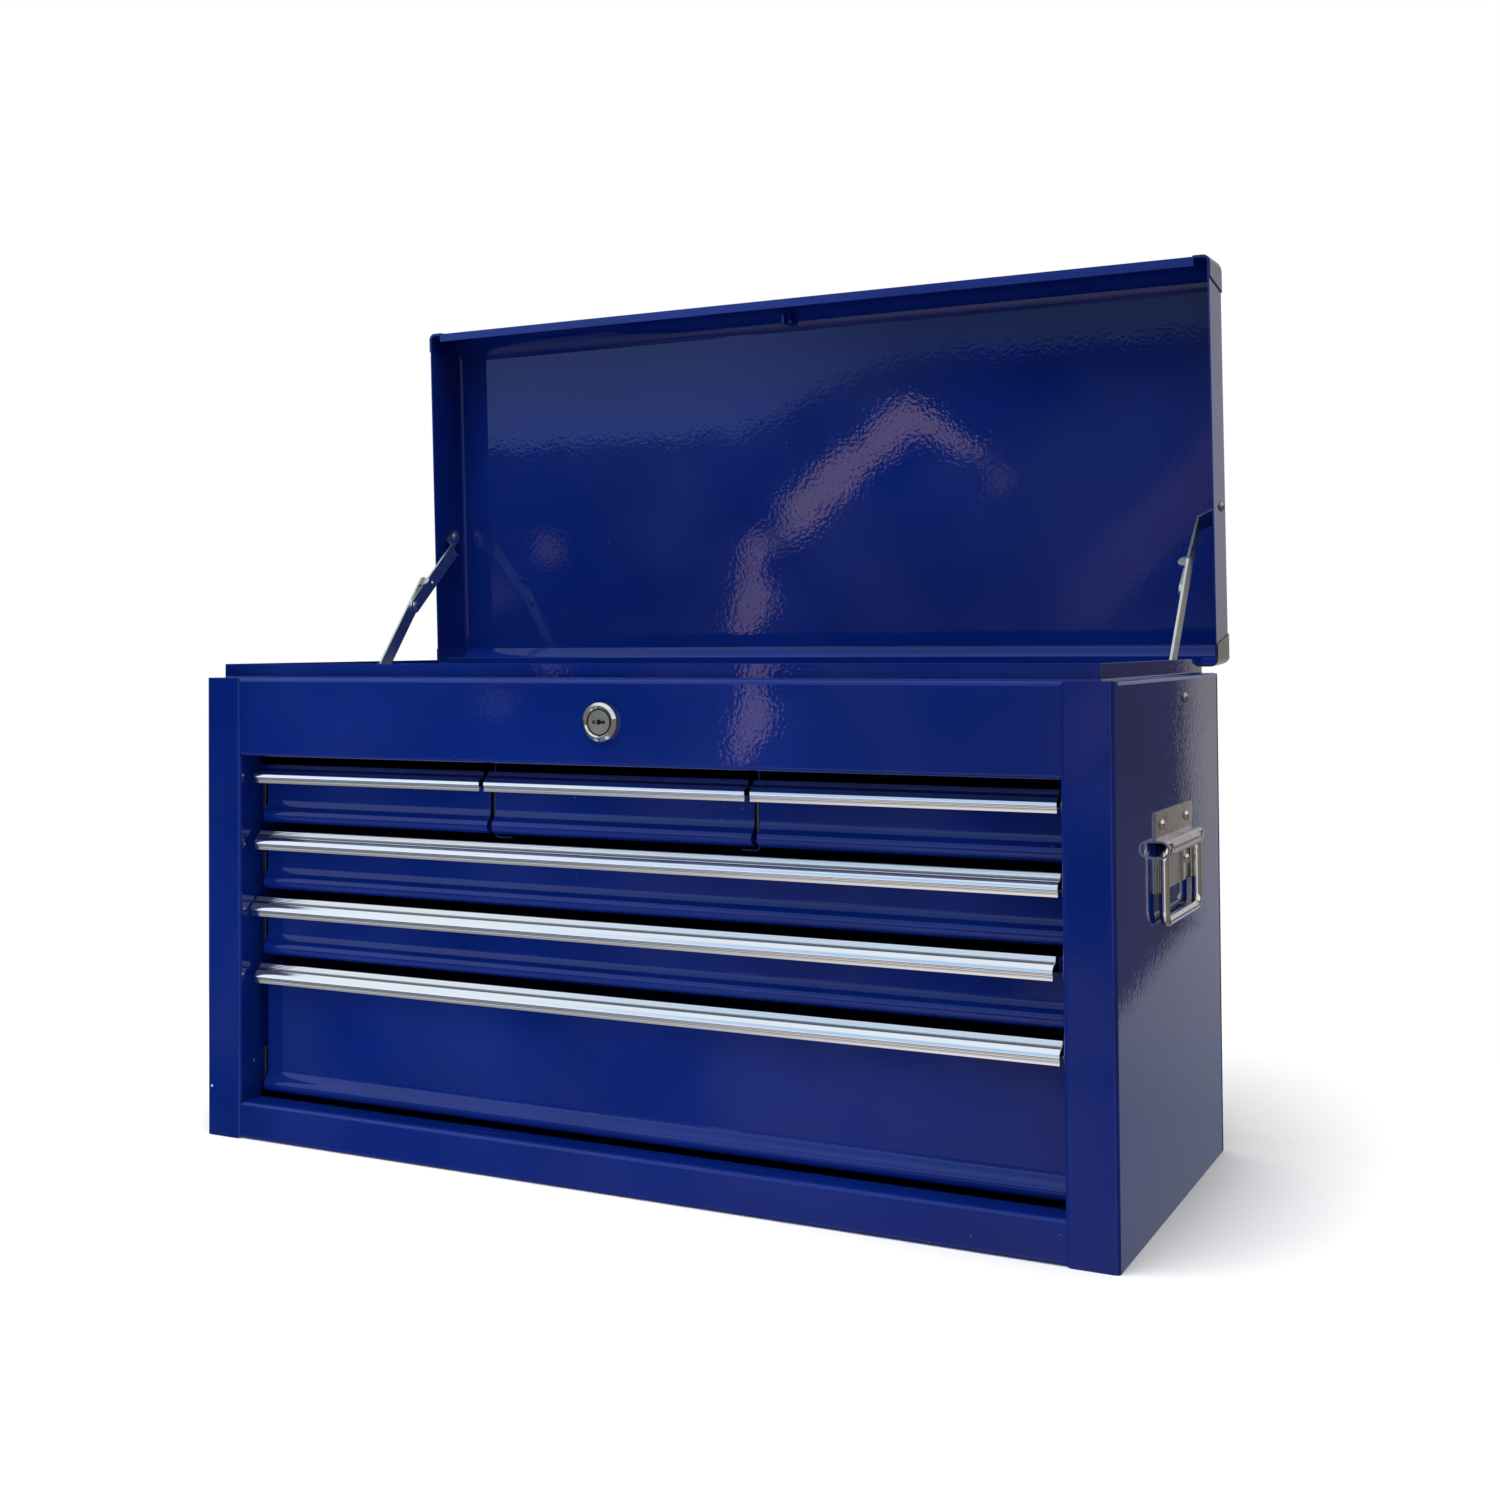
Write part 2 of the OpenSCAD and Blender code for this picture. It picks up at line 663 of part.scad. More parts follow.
// Extrusion that hooks over the top of the drawer front, with a grooved lip under its nose
module pull2d() {
  difference() {
    union() {
      polygon([[-pull_hook, -pull_wall], [-pull_hook, 0], slope_0, slope_1, slope_in,
        [slope_top, -pull_wall]]);
      translate([0, back_rise - pull_h]) square([pull_wall, pull_h - back_rise - pull_wall / 2]);
      translate(nose_c) fold_sector(nose_r - pull_wall, pull_wall, 90 + slope_a, -nose_turn - slope_a);
      translate([lip_u, -pull_h]) square([pull_wall, pull_h + nose_c[1] - nose_r / 3]);
    }
    for (i = [1:flutes])
      translate(slope_0 + i * 2.6 * flute_r * [cos(slope_a), sin(slope_a)]) circle(flute_r, $fn = 24);
    translate([lip_u + pull_wall, -pull_h + groove_v]) circle(groove_r, $fn = 24);
  }
}
module pull(x0, x1, z) {
  color("silver") along_x_at((x0 + x1) / 2, x1 - x0) facing(face_y, z) pull2d();
}
module pull_small_mid() { pull(-small_w / 2, small_w / 2, row_z[0] + drawer_h); }
module pull_small_right() { pull(small_w / 2 + split_gap, front_w / 2, row_z[0] + drawer_h); }
module pull_small_left() { mirror([1, 0, 0]) pull_small_right(); }
module pull_upper() { pull(-front_w / 2, front_w / 2, row_z[1] + drawer_h); }
module pull_middle() {
  pull(-front_w / 2 - pull_shift, front_w / 2 - pull_shift, row_z[2] + drawer_h);
}
module pull_deep() { pull(-front_w / 2, front_w / 2, deep_z + deep_h); }

// ---- lid ----

// Turns what is modelled on the closed lid back to where the lid stands open
module opened() {
  translate([0, pin_y, pin_z]) rotate([-lid_open, 0, 0]) translate([0, -pin_y, -pin_z]) children();
}

// Block with the lid's rounded outline, grown by o on the outside
module lid_block(o, z0) {
  z1 = lid_z + lid_h + o;
  intersection() {
    along_x(2 * lid_x + 2 * o) arch2d(yf - o, yb + o, z0, z1, lid_front_r + o, lid_rear_r + o);
    along_y(yf - o, yb + o) arch2d(-lid_x - o, lid_x + o, z0, z1, lid_side_r + o, lid_side_r + o);
    translate([0, 0, z0]) linear_extrude(z1 - z0)
      round_rect(2 * lid_x + 2 * o, body_d + 2 * o, lid_side_r + o);
  }
}

module lid_shell() {
  color("navy") opened() {
    difference() {
      lid_block(0, lid_z);
      lid_block(-sheet, lid_z - 1);
      for (i = [0, 1]) mirror([i, 0, 0])
        translate([lid_x - 5, lid_closed[0], lid_closed[1]]) rotate([0, 90, 0]) cylinder(d = pivot_d, h = 10);
    }
    // lips turned in along the front and rear skirts
    for (y = [yf + sheet / 2, yb - lip_w])
      translate([-lid_x + lip_side, y, lid_z]) cube([2 * (lid_x - lip_side), lip_w - sheet / 2, sheet]);
  }
}

// Pressed caps over the four corners, narrower at the free edge than at the top
module lid_corner_caps() {
  color("black") opened() intersection() {
    difference() {
      lid_block(cap_t, lid_z);
      lid_block(0, lid_z - 1);
    }
    along_x(3 * xs) for (i = [0, 1]) mirror([i, 0])
      polygon([[yb + 5, lid_z - 1], [yb - cap_low, lid_z - 1],
        [yb - cap_high, lid_z + lid_h + 5], [yb + 5, lid_z + lid_h + 5]]);
    along_y(yf - 5, yb + 5) for (i = [0, 1]) mirror([i, 0])
      polygon([[xs + 5, lid_z - 1], [xs - cap_low + 2, lid_z - 1],
        [xs - cap_high + 3, lid_z + lid_h + 5], [xs + 5, lid_z + lid_h + 5]]);
  }
}

// Section of the lid at the offset o
module lid_section(o) {
  arch2d(yf - o, yb + o, lid_z, lid_z + lid_h + o, lid_front_r + o, lid_rear_r + o);
}

// Plate on the front skirt with a slot for the hook of the cam
module lid_catch() {
  color("steelblue") opened() difference() {
    translate([catch_x + catch_t / 2, 0, 0]) along_x(catch_t) intersection() {
      lid_section(-sheet);
      translate([yf, lid_z + catch_foot]) square([sheet + catch_w, catch_h]);
    }
    translate([catch_x - 1, yf + sheet + 2, hook_z - clear])
      cube([catch_t + 2, catch_w - 3.7, hook_w + 2]);
    translate([catch_x - 1, yf + sheet + 4.5, lid_z + catch_foot + 2.6]) rotate([0, 90, 0])
      cylinder(d = 1.8, h = catch_t + 2);
  }
  // flange welded to the inside of the skirt
  color("steelblue") opened() translate([catch_x - 3.5, 0, 0]) along_x(9) difference() {
    intersection() {
      lid_section(-sheet);
      translate([yf, lid_z + catch_foot]) square([sheet + catch_w, catch_h]);
    }
    lid_section(-sheet - catch_t);
  }
}

// Rivets that hold the stays to the lid, flat on the inside
module lid_rivets() {
  color("silver") opened() for (i = [0, 1]) mirror([i, 0, 0])
    translate([lid_x, lid_closed[0], lid_closed[1]]) rotate([0, 90, 0]) {
      dome_head(rivet_d, rivet_h);
      translate([0, 0, -sheet - flat_head]) cylinder(d = pivot_d - 2 * run, h = sheet + flat_head + 0.1);
      translate([0, 0, -sheet - flat_head]) cylinder(d = pivot_d + 3, h = flat_head);
    }
}

// ---- hinge ----

module leaf(up, first) {
  difference() {
    union() {
      translate([-hinge_l / 2, yb, up > 0 ? pin_z : pin_z - leaf_h]) cube([hinge_l, leaf_t, leaf_h]);
      translate([-hinge_l / 2, pin_y, pin_z]) rotate([0, 90, 0]) cylinder(d = knuckle_d, h = hinge_l);
    }
    // every second knuckle belongs to the other leaf
    for (i = [first:2:knuckles - 1])
      translate([-hinge_l / 2 + i * knuckle_p - clear / 2, yb - 1, pin_z - knuckle_d / 2 - clear])
        cube([knuckle_p + clear, 2 * knuckle_d, knuckle_d + 2 * clear]);
    translate([-hinge_l / 2 - 1, pin_y, pin_z]) rotate([0, 90, 0])
      cylinder(d = pin_d + 2 * run, h = hinge_l + 2);
  }
}
module hinge_leaf_body() { color("silver") leaf(-1, 0); }
module hinge_leaf_lid() { color("silver") opened() leaf(1, 1); }
module hinge_pin() {
  color("silver") translate([-hinge_l / 2 - 1, pin_y, pin_z]) rotate([0, 90, 0])
    cylinder(d = pin_d, h = hinge_l + 2);
}

// ---- lid stays, built on the right ----

// Flat bar with round ends, from u0 to u1
module bar2d(u0, u1, w) {
  translate([u0, -w / 2]) square([u1 - u0, w]);
  for (u = [u0, u1]) translate([u, 0]) circle(w / 2);
}

// Places children with u along angle a from the point p in the Y-Z plane, thickness along X
module in_side_plane(p, a, x) {
  translate([x, p[0], p[1]]) rotate([a, 0, 0]) rotate([90, 0, 90]) children();
}

module stay_lower_right() {
  color("silver") {
    in_side_plane(lower_pt, lower_ang, link_x) difference() {
      linear_extrude(link_t) bar2d(0, lower_l + tail_l - link_w / 2, link_w);
      translate([0, 0, -1]) cylinder(d = pivot_d, h = link_t + 2);
    }
    // stop lug, folded over the front edge of the upper link
    in_side_plane(mid_pt, upper_ang, over_x)
      translate([tail_l - 2 - lug_l / 2, link_w / 2 + clear + link_t, 0]) rotate([90, 0, 0])
        linear_extrude(link_t) {
          translate([-lug_l / 2, 0]) square([lug_l, link_x - over_x + link_t / 2]);
          difference() {
            circle(lug_l / 2, $fn = 64);
            translate([-lug_l, 0.1]) square(2 * lug_l);
          }
        }
    // riveted pin of the middle joint
    in_side_plane(mid_pt, 0, over_x - clear / 2) cylinder(d = pivot_d - 2 * run, h = link_x - over_x + link_t);
    in_side_plane(mid_pt, 0, over_x - clear / 2) mirror([0, 0, 1]) dome_head(pivot_d + 3, head_t);
  }
}
module stay_lower_left() { mirror([1, 0, 0]) stay_lower_right(); }

module stay_upper_right() {
  color("silver") difference() {
    union() {
      intersection() {
        in_side_plane(mid_pt, upper_ang, over_x - 1) linear_extrude(20) bar2d(0, upper_l, link_w);
        // the joggle steps the bar outwards over the rim
        in_side_plane(mid_pt, upper_ang, over_x) translate([0, link_w, 0]) rotate([90, 0, 0])
          linear_extrude(2 * link_w)
            polygon([[-link_w, 0], [joggle[0], 0], [joggle[1], lid_link_x - over_x],
              [upper_l + link_w, lid_link_x - over_x], [upper_l + link_w, lid_link_x - over_x + link_t],
              [joggle[1] - 0.8, lid_link_x - over_x + link_t], [joggle[0] - 0.8, link_t],
              [-link_w, link_t]]);
      }
      in_side_plane(upper_pt, 0, lid_link_x) mirror([0, 0, 1]) dome_head(pivot_d + 3, head_t);
    }
    in_side_plane(mid_pt, 0, over_x - 1) cylinder(d = pivot_d, h = link_t + 2);
    in_side_plane(mid_pt, upper_ang, over_x - 1) translate([hole_at, 0, 0]) cylinder(d = 2.4, h = link_t + 2);
  }
}
module stay_upper_left() { mirror([1, 0, 0]) stay_upper_right(); }

// Shouldered studs of the lower pivots, riveted through the side panels
module stay_studs() {
  gap_x = link_x + link_t + clear / 2;
  color("silver") for (i = [0, 1]) mirror([i, 0, 0]) {
    in_side_plane(lower_pt, 0, gap_x) cylinder(d = pivot_d + 4, h = xs - sheet - gap_x);
    in_side_plane(lower_pt, 0, link_x - clear / 2) cylinder(d = pivot_d - 2 * run, h = xs - link_x + clear);
    in_side_plane(lower_pt, 0, link_x - clear / 2) mirror([0, 0, 1]) dome_head(pivot_d + 3, head_t);
    in_side_plane(lower_pt, 0, xs) dome_head(rivet_d, rivet_h);
  }
}

// ---- lock ----

// Axis of the lock, running back from the face of the header
module on_lock_axis() {
  translate([0, yf + sheet, lock_z]) rotate([-90, 0, 0]) children();
}

module lock_body() {
  color("silver") on_lock_axis() difference() {
    rotate_extrude($fn = 96)
      polygon([[plug_d / 2 + run, -bezel_t + 1], [plug_d / 2 + 1, -bezel_t], [lock_d / 2 - 1.8, -bezel_t],
        [lock_d / 2, -bezel_t + 1.8], [lock_d / 2, 0], [barrel_d / 2, 0], [barrel_d / 2, barrel_l],
        [plug_d / 2 + run, barrel_l]]);
  }
}

module lock_nut() {
  color("silver") on_lock_axis() translate([0, 0, sheet]) difference() {
    cylinder(d = barrel_d + 9, h = 4, $fn = 6);
    translate([0, 0, -1]) cylinder(d = barrel_d + 2 * run, h = 6);
  }
}

module lock_plug() {
  color("silver") on_lock_axis() difference() {
    union() {
      translate([0, 0, 1.2 - bezel_t]) cylinder(d = plug_d, h = bezel_t - 1.2 + barrel_l);
      translate([0, 0, barrel_l]) cylinder(d = 6, h = cam_t + 2);
    }
    // key slot
    translate([-4.2, -0.9, -bezel_t]) cube([8.4, 1.8, 10]);
    translate([0, 0, -bezel_t]) cylinder(d = 3, h = 10);
  }
}

module lock_cam() {
  color("silver") translate([0, cam_y + cam_t, lock_z]) rotate([90, 0, 0]) difference() {
    linear_extrude(cam_t) {
      circle(6.5);
      rotate(-4) translate([0, -3.5]) square([hook_r - 1, 7]);
      fold_sector(hook_r - hook_w, hook_w, -4, hook_turn);
    }
    translate([0, 0, -1]) cylinder(d = 6 + 2 * run, h = cam_t + 2);
  }
}

// ---- side handles, built on the right ----

module channel2d(o) {
  intersection() {
    translate(channel_c) circle(channel_h / 2 - o);
    translate([xs, pivot_z - channel_h]) square(2 * channel_h);
  }
  translate([xs, pivot_z - channel_h / 2 + o])
    square([channel_x - channel_h / 2, channel_h - 2 * o]);
}
module handle_plate_right() {
  color("silver") difference() {
    along_y(-plate_w / 2, plate_w / 2) difference() {
      union() {
        translate([xs, plate_z - plate_h / 2]) square([plate_t, plate_h]);
        channel2d(0);
      }
      channel2d(plate_t);
    }
    for (y = [-1, 1], z = [-1, 1])
      translate([xs - 1, y * rivet_y, pivot_z + z * rivet_z]) rotate([0, 90, 0])
        cylinder(d = rivet_d / 2, h = 5);
    // windows that the legs of the bail swing in
    for (i = [0, 1]) mirror([0, i, 0])
      translate([xs + plate_t, bail_half - bend_r - 0.5, pivot_z - channel_h])
        cube([channel_x, bend_r + 0.5 + rod_d / 2 + clear, channel_h + rod_d / 2 + clear]);
  }
}
module handle_plate_left() { mirror([1, 0, 0]) handle_plate_right(); }

// Quarter bend of the rod in the Y-Z plane, from the angle a
module elbow(y, z, a) {
  translate([0, y, z]) rotate([90, 0, 90]) rotate(a) rotate_extrude(angle = 90)
    translate([bend_r, 0]) circle(d = rod_d, $fn = 36);
}
module handle_bail_right() {
  color("silver") translate([pivot_x, 0, pivot_z]) {
    for (i = [0, 1]) mirror([0, i, 0]) {
      // stub in the channel, elbow, leg and elbow
      translate([0, bail_half - bend_r - 14, 0]) rotate([-90, 0, 0]) cylinder(d = rod_d, h = 14, $fn = 36);
      elbow(bail_half - bend_r, -bend_r, 0);
      translate([0, bail_half, bend_r - bail_h]) cylinder(d = rod_d, h = bail_h - 2 * bend_r, $fn = 36);
      elbow(bail_half - bend_r, bend_r - bail_h, -90);
    }
    // grip
    translate([0, bend_r - bail_half, -bail_h]) rotate([-90, 0, 0])
      cylinder(d = rod_d, h = 2 * (bail_half - bend_r), $fn = 36);
  }
}
module handle_bail_left() { mirror([1, 0, 0]) handle_bail_right(); }

module handle_rivets() {
  color("silver") for (i = [0, 1], y = [-1, 1], z = [-1, 1]) mirror([i, 0, 0])
    translate([xs + plate_t, y * rivet_y, pivot_z + z * rivet_z]) rotate([0, 90, 0]) {
      dome_head(rivet_d, 1.8);
      translate([0, 0, -plate_t - sheet]) cylinder(d = rivet_d / 2 - 2 * run, h = plate_t + sheet + 0.1);
    }
}

side_panel_left();
side_panel_right();
back_panel();
base_pan();
header_panel();
tray_floor();
carrier_left();
carrier_right();
divider_left();
divider_right();
rails_row1();
rails_row2();
rails_row3();
rails_row4();
drawer_small_left();
drawer_small_mid();
drawer_small_right();
drawer_upper();
drawer_middle();
drawer_deep();
pull_small_left();
pull_small_mid();
pull_small_right();
pull_upper();
pull_middle();
pull_deep();
runners_small_left();
runners_small_mid();
runners_small_right();
runners_upper();
runners_middle();
runners_deep();
lid_shell();
lid_corner_caps();
lid_catch();
lid_rivets();
hinge_leaf_body();
hinge_leaf_lid();
hinge_pin();
stay_upper_left();
stay_upper_right();
stay_lower_left();
stay_lower_right();
stay_studs();
lock_body();
lock_nut();
lock_plug();
lock_cam();
handle_plate_left();
handle_plate_right();
handle_bail_left();
handle_bail_right();
handle_rivets();
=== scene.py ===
"""Portable tool chest with six drawers, a folding lid and two drop handles.

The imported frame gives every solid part. This file gives them their finishes, adds the small
parts that only show, and sets the floor, the light and the camera.
"""
import math

import bmesh
import bpy
from mathutils import Matrix, Vector


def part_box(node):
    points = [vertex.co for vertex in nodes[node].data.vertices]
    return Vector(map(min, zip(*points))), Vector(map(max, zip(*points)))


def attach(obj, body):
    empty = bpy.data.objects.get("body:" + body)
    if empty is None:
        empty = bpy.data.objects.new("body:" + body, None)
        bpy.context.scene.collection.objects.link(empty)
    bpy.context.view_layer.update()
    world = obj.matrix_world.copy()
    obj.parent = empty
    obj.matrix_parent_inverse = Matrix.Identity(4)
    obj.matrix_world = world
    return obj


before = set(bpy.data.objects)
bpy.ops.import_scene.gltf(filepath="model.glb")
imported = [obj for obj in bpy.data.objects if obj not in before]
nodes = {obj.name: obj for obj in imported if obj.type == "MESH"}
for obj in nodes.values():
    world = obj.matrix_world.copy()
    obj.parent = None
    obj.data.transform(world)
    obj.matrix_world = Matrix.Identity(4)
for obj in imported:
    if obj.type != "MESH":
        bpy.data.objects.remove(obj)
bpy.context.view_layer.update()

bl_info = {
    "name": "Portable tool chest",
    "version": (1, 0, 0),
    "blender": (4, 5, 0),
    "location": "3D View > Sidebar > Tool chest",
    "description": "Finishes, small parts and studio for a drawer tool chest",
    "category": "Object",
}

# ---- sizes and places, in metres ----

MM = 0.001
PAINTED = ["side_panel_left", "side_panel_right", "back_panel", "base_pan", "header_panel",
           "tray_floor", "carrier_left", "carrier_right", "divider_left", "divider_right",
           "drawer_small_left", "drawer_small_mid", "drawer_small_right", "drawer_upper",
           "drawer_middle", "drawer_deep", "lid_shell", "lid_catch"]

# Flutes on the slope of a pull: how far back the first one lies, and the step to the next
FLUTE_START, FLUTE_PITCH = -0.1145, 0.000735
# Tops of the pulls: the highest, the step from row to row, and how far down the flutes reach
PULL_TOP, PULL_PITCH, FLUTED_DROP = 0.2430, 0.0436, 0.0044
# Below the flutes: where the nose starts, is full, stops being full and ends
NOSE_START, NOSE_FULL, NOSE_PAST, NOSE_END = 1.2 * MM, 3.1 * MM, 4.1 * MM, 4.9 * MM
# Below the flutes: where the lip starts and is full
LIP_START, LIP_FULL = 4.6 * MM, 5.4 * MM
# Shading of a pull: lift of the nose, drop of the lip, and how far its flutes face like their slope
NOSE_LIFT, LIP_DROP, FLUTES_EVEN, SLOPE_FACES = 0.33, 0.22, 0.8, (0.0, -0.76, 0.65)
# How far a finish takes to change at a line on a pull
PULL_LINE = 0.1 * MM

# The hinge's pin, how far the lid stands open, and the thickness of a hinge leaf
PIN_Y, PIN_Z, LID_TURN = 0.1345, 0.300, math.radians(-88.0)
HINGE_LEAF = 0.0012
# Rivets of the hinge: how many, how far from the leaf's ends and from the pin, and the back they sit on
HINGE_RIVETS, HINGE_END, LEAF_REACH, BACK_Y = 10, 0.018, 0.0105, 0.130
# Rivets inside each stile: how far out, and where
STILE_X = 0.2720
STILE_RIVETS = [(-0.1269, 0.2363), (-0.1251, 0.1910), (-0.1262, 0.1490), (-0.1273, 0.1065),
                (-0.1161, 0.0483)]
# Rivet heads: radius and height, as shares of half the diameter that is set
STILE_HEAD, HINGE_HEAD = (0.8, 0.32), (1.5, 0.5)

# Dark ring of painted shadow in the gap round the lock plug: its half width, its radius as a share of the
# plug's, and its depth
RING_WIRE, RING_SHARE, RING_DEPTH = 0.35 * MM, 0.94, 0.05 * MM
# Shutter in the key slot: its size, how far left of the middle, how far in, and its rounded edges
SHUTTER_SIZE = (0.0016, 0.0011, 0.0010)
SHUTTER_LEFT, SHUTTER_DEPTH, SHUTTER_EDGE = 0.0021, 0.0006, 0.25 * MM

# The camera: focal length and sensor width in mm, shift of the picture, place, and its right and up
LENS, SENSOR, SHIFT = 44.347, 36.0, (0.06838, -0.09772)
EYE = (0.53785, -1.06865, 0.32055)
EYE_RIGHT, EYE_UP = (0.88008, 0.47478, -0.00647), (0.01607, -0.01616, 0.99974)

# Lamps: name, place, what it points at, width, and power as a share of the key lamp's
LAMPS = [("key_lamp", (-0.4, -1.6, 2.3), (0.0, 0.0, 0.25), 1.4, 1.0),
         ("fill_lamp", (1.9, -1.2, 1.4), (0.1, 0.0, 0.2), 1.2, 0.12),
         ("top_lamp", (0.0, -0.14, 1.45), (0.0, 0.1, 0.3), 0.7, 1.05),
         ("floor_glow", (-0.12, -0.42, 0.012), (-0.08, -0.13, 0.02), 0.35, 0.075)]

# Floor: its half width, and where it runs into white, from the middle outwards
FLOOR_REACH, FLOOR_FADE = 6.0, (0.42, 0.75)

# ---- colours, linear ----

WHITE = (1.0, 1.0, 1.0, 1.0)
DUST = (0.35, 0.37, 0.45, 1.0)
CAP_BLACK, CAP_RUBBED = (0.004, 0.005, 0.009, 1.0), (0.018, 0.02, 0.028, 1.0)
# Painted shade in the pulls' flutes and in their closed-in corners
FLUTE_SHADE, CORNER_SHADE = (0.012, 0.02, 0.04, 1.0), (0.012, 0.016, 0.03, 1.0)
# Painted shade on the inside wall of a pull, behind its flutes
PULL_INSIDE_SHADE = (0.02, 0.025, 0.04, 1.0)
# Flecks in the zinc, and painted shade in narrow gaps
SPANGLE, GAP_SHADE = (0.1, 0.1, 0.1, 1.0), (0.004, 0.004, 0.006, 1.0)
FLOOR_SEEN, FLOOR_LIT = (0.87, 0.87, 0.88, 1.0), (0.50, 0.50, 0.52, 1.0)

# Plated finishes: colour, tint, roughness and spangles; the first two take their colour from the settings
BRIGHT_ZINC = ((0.66, 0.68, 0.62, 1.0), 0.30, 220.0)
POLISHED_CHROME = ((0.88, 0.84, 0.74, 1.0), 0.05, 300.0)
SLIDE_ZINC = ((0.50, 0.51, 0.52, 1.0), (0.46, 0.46, 0.43, 1.0), 0.34, 160.0)
RIVET_STEEL = ((0.46, 0.45, 0.48, 1.0), (0.34, 0.33, 0.36, 1.0), 0.28, 300.0)
BRACKET_NICKEL = ((0.60, 0.55, 0.48, 1.0), (0.50, 0.45, 0.38, 1.0), 0.13, 300.0)
LOCK_NICKEL = ((0.50, 0.46, 0.40, 1.0), (0.36, 0.33, 0.29, 1.0), 0.42, 400.0)
SMALL_HEADS = ((0.40, 0.41, 0.46, 1.0), (0.30, 0.31, 0.36, 1.0), 0.26, 300.0)
RING_SHADOW = ((0.02, 0.018, 0.016, 1.0), (0.012, 0.01, 0.01, 1.0), 0.4, 400.0)
SHUTTER_NICKEL = ((0.66, 0.62, 0.52, 1.0), (0.46, 0.42, 0.34, 1.0), 0.18, 400.0)

# Small marks in the enamel: place, radius and colour
PALE_SPOT, DARK_DOT, DARK_MARK = (0.62, 0.62, 0.60, 1.0), (0.004, 0.004, 0.012, 1.0), (0.006, 0.006, 0.015, 1.0)
# A small pale spot near the foot of the left stile
MARKS = [((-0.2960, -0.1300, 0.0320), 0.9 * MM, PALE_SPOT),
         # Small dark marks on the right side panel, one high and four in a row lower down
         ((0.3000, 0.0423, 0.2291), 0.8 * MM, DARK_DOT),
         ((0.3000, 0.0835, 0.1225), 0.8 * MM, DARK_MARK),
         ((0.3000, 0.0968, 0.1237), 0.7 * MM, DARK_MARK),
         ((0.3000, 0.1070, 0.1225), 0.8 * MM, DARK_MARK),
         ((0.3000, 0.1170, 0.1212), 0.7 * MM, DARK_MARK)]
# Ripples of the enamel, from orange peel to grit: noise scale, detail and share of the height
RIPPLES = [(34.0, 1.0, 0.8), (150.0, 1.0, 0.5), (380.0, 1.0, 0.9), (900.0, 0.0, 0.09)]

# ---- surroundings ----
# In front, a direction is across = x / -y and height = z / -y. Behind, it is aside = x / y and z.

# The yard, by z moved from -1..1 to 0..1
YARD = [(0.0, (0.30, 0.40, 0.52)), (0.11, (0.36, 0.44, 0.54)), (0.19, (0.86, 0.80, 0.77)),
        (0.29, (0.76, 0.70, 0.66)), (0.35, (0.40, 0.36, 0.32)), (0.39, (0.30, 0.28, 0.25)),
        (0.45, (0.20, 0.19, 0.16)), (0.495, (0.17, 0.19, 0.15)), (0.51, (0.15, 0.18, 0.16))]
YARD_LEFT, YARD_RIGHT = (0.02, 0.06, 0.06, 1.0), (0.70, 0.82, 1.10, 1.0)
YARD_FAR_RIGHT = (0.20, 0.165, 0.13, 1.0)
# The roof line: across from and to, height from and to, and how soft its edge is
ROOF, ROOF_EDGE = (-0.475, -0.372, 0.055, 0.093), 0.003
SKY_LOW_LEFT, SKY_LOW_RIGHT = (0.64, 0.92, 1.80, 1.0), (0.34, 0.48, 0.60, 1.0)
SKY_PALE = (0.95, 1.05, 1.15, 1.0)
SKY_LEFT, SKY_RIGHT = (0.86, 0.95, 1.02, 1.0), (0.46, 0.67, 0.93, 1.0)
SKY_TOP = (0.84, 0.92, 0.98, 1.0)
WALL_FOOT, WALL_TOP = (0.08, 0.07, 0.06, 1.0), (0.95, 0.92, 0.86, 1.0)
WALL_FOOT_BEHIND = (0.16, 0.13, 0.10, 1.0)
# A bent strip of sun: its peak, its slope, the foot of its right half, and its two ends
PINK = (2.5, 1.75, 1.75, 1.0)
STRIP_PEAK, STRIP_SLOPE = (-0.368, 0.071), 0.73
STRIP_FOOT, STRIP_ENDS = (-0.375, -0.330, -0.028, -0.008), (-0.446, -0.324)
# An upright streak of sun: its sides, its ends, its lean, how ragged it is, and its strength
STREAK_SIDES, STREAK_ENDS = (-0.466, -0.450), (-0.072, -0.006)
STREAK_LEAN, STREAK_RAGGED, STREAK_SHARE = 0.26, 1.5, 0.85
# Round glints: place, size and strength
GLINTS = [((-0.608, -0.007), 0.012, 0.30), ((-0.649, -0.039), 0.012, 0.12), ((-0.317, 0.020), 0.009, 0.25)]
# A wide slanting haze to the right: where it starts, its slope, its width and its strength
HAZE = (1.6, 1.0, 1.3, 1.0)
HAZE_START, HAZE_SLOPE, HAZE_WIDTH, HAZE_SHARE = -0.243, 0.93, 0.042, 0.28
# The ground behind, by z moved from -1..1 to 0..1
BEHIND = [(0.0, (0.20, 0.20, 0.24)), (0.38, (0.31, 0.34, 0.41)), (0.43, (0.50, 0.50, 0.54)),
          (0.47, (0.56, 0.53, 0.50)), (0.50, (0.52, 0.48, 0.44)), (0.515, (0.53, 0.52, 0.56)),
          (0.65, (0.50, 0.52, 0.60)), (0.95, (0.50, 0.50, 0.60))]
BEHIND_RIGHT = (0.04, 0.05, 0.07, 1.0)
# The dark shape behind: z from and to, aside from and to, how soft its edge is, and its colours
SHAPE, SHAPE_EDGE = (-0.145, -0.205, 0.214, 0.265), 0.0015
SHAPE_LOW, SHAPE_HIGH = (0.11, 0.10, 0.12, 1.0), (0.09, 0.08, 0.08, 1.0)


# ---- node trees ----

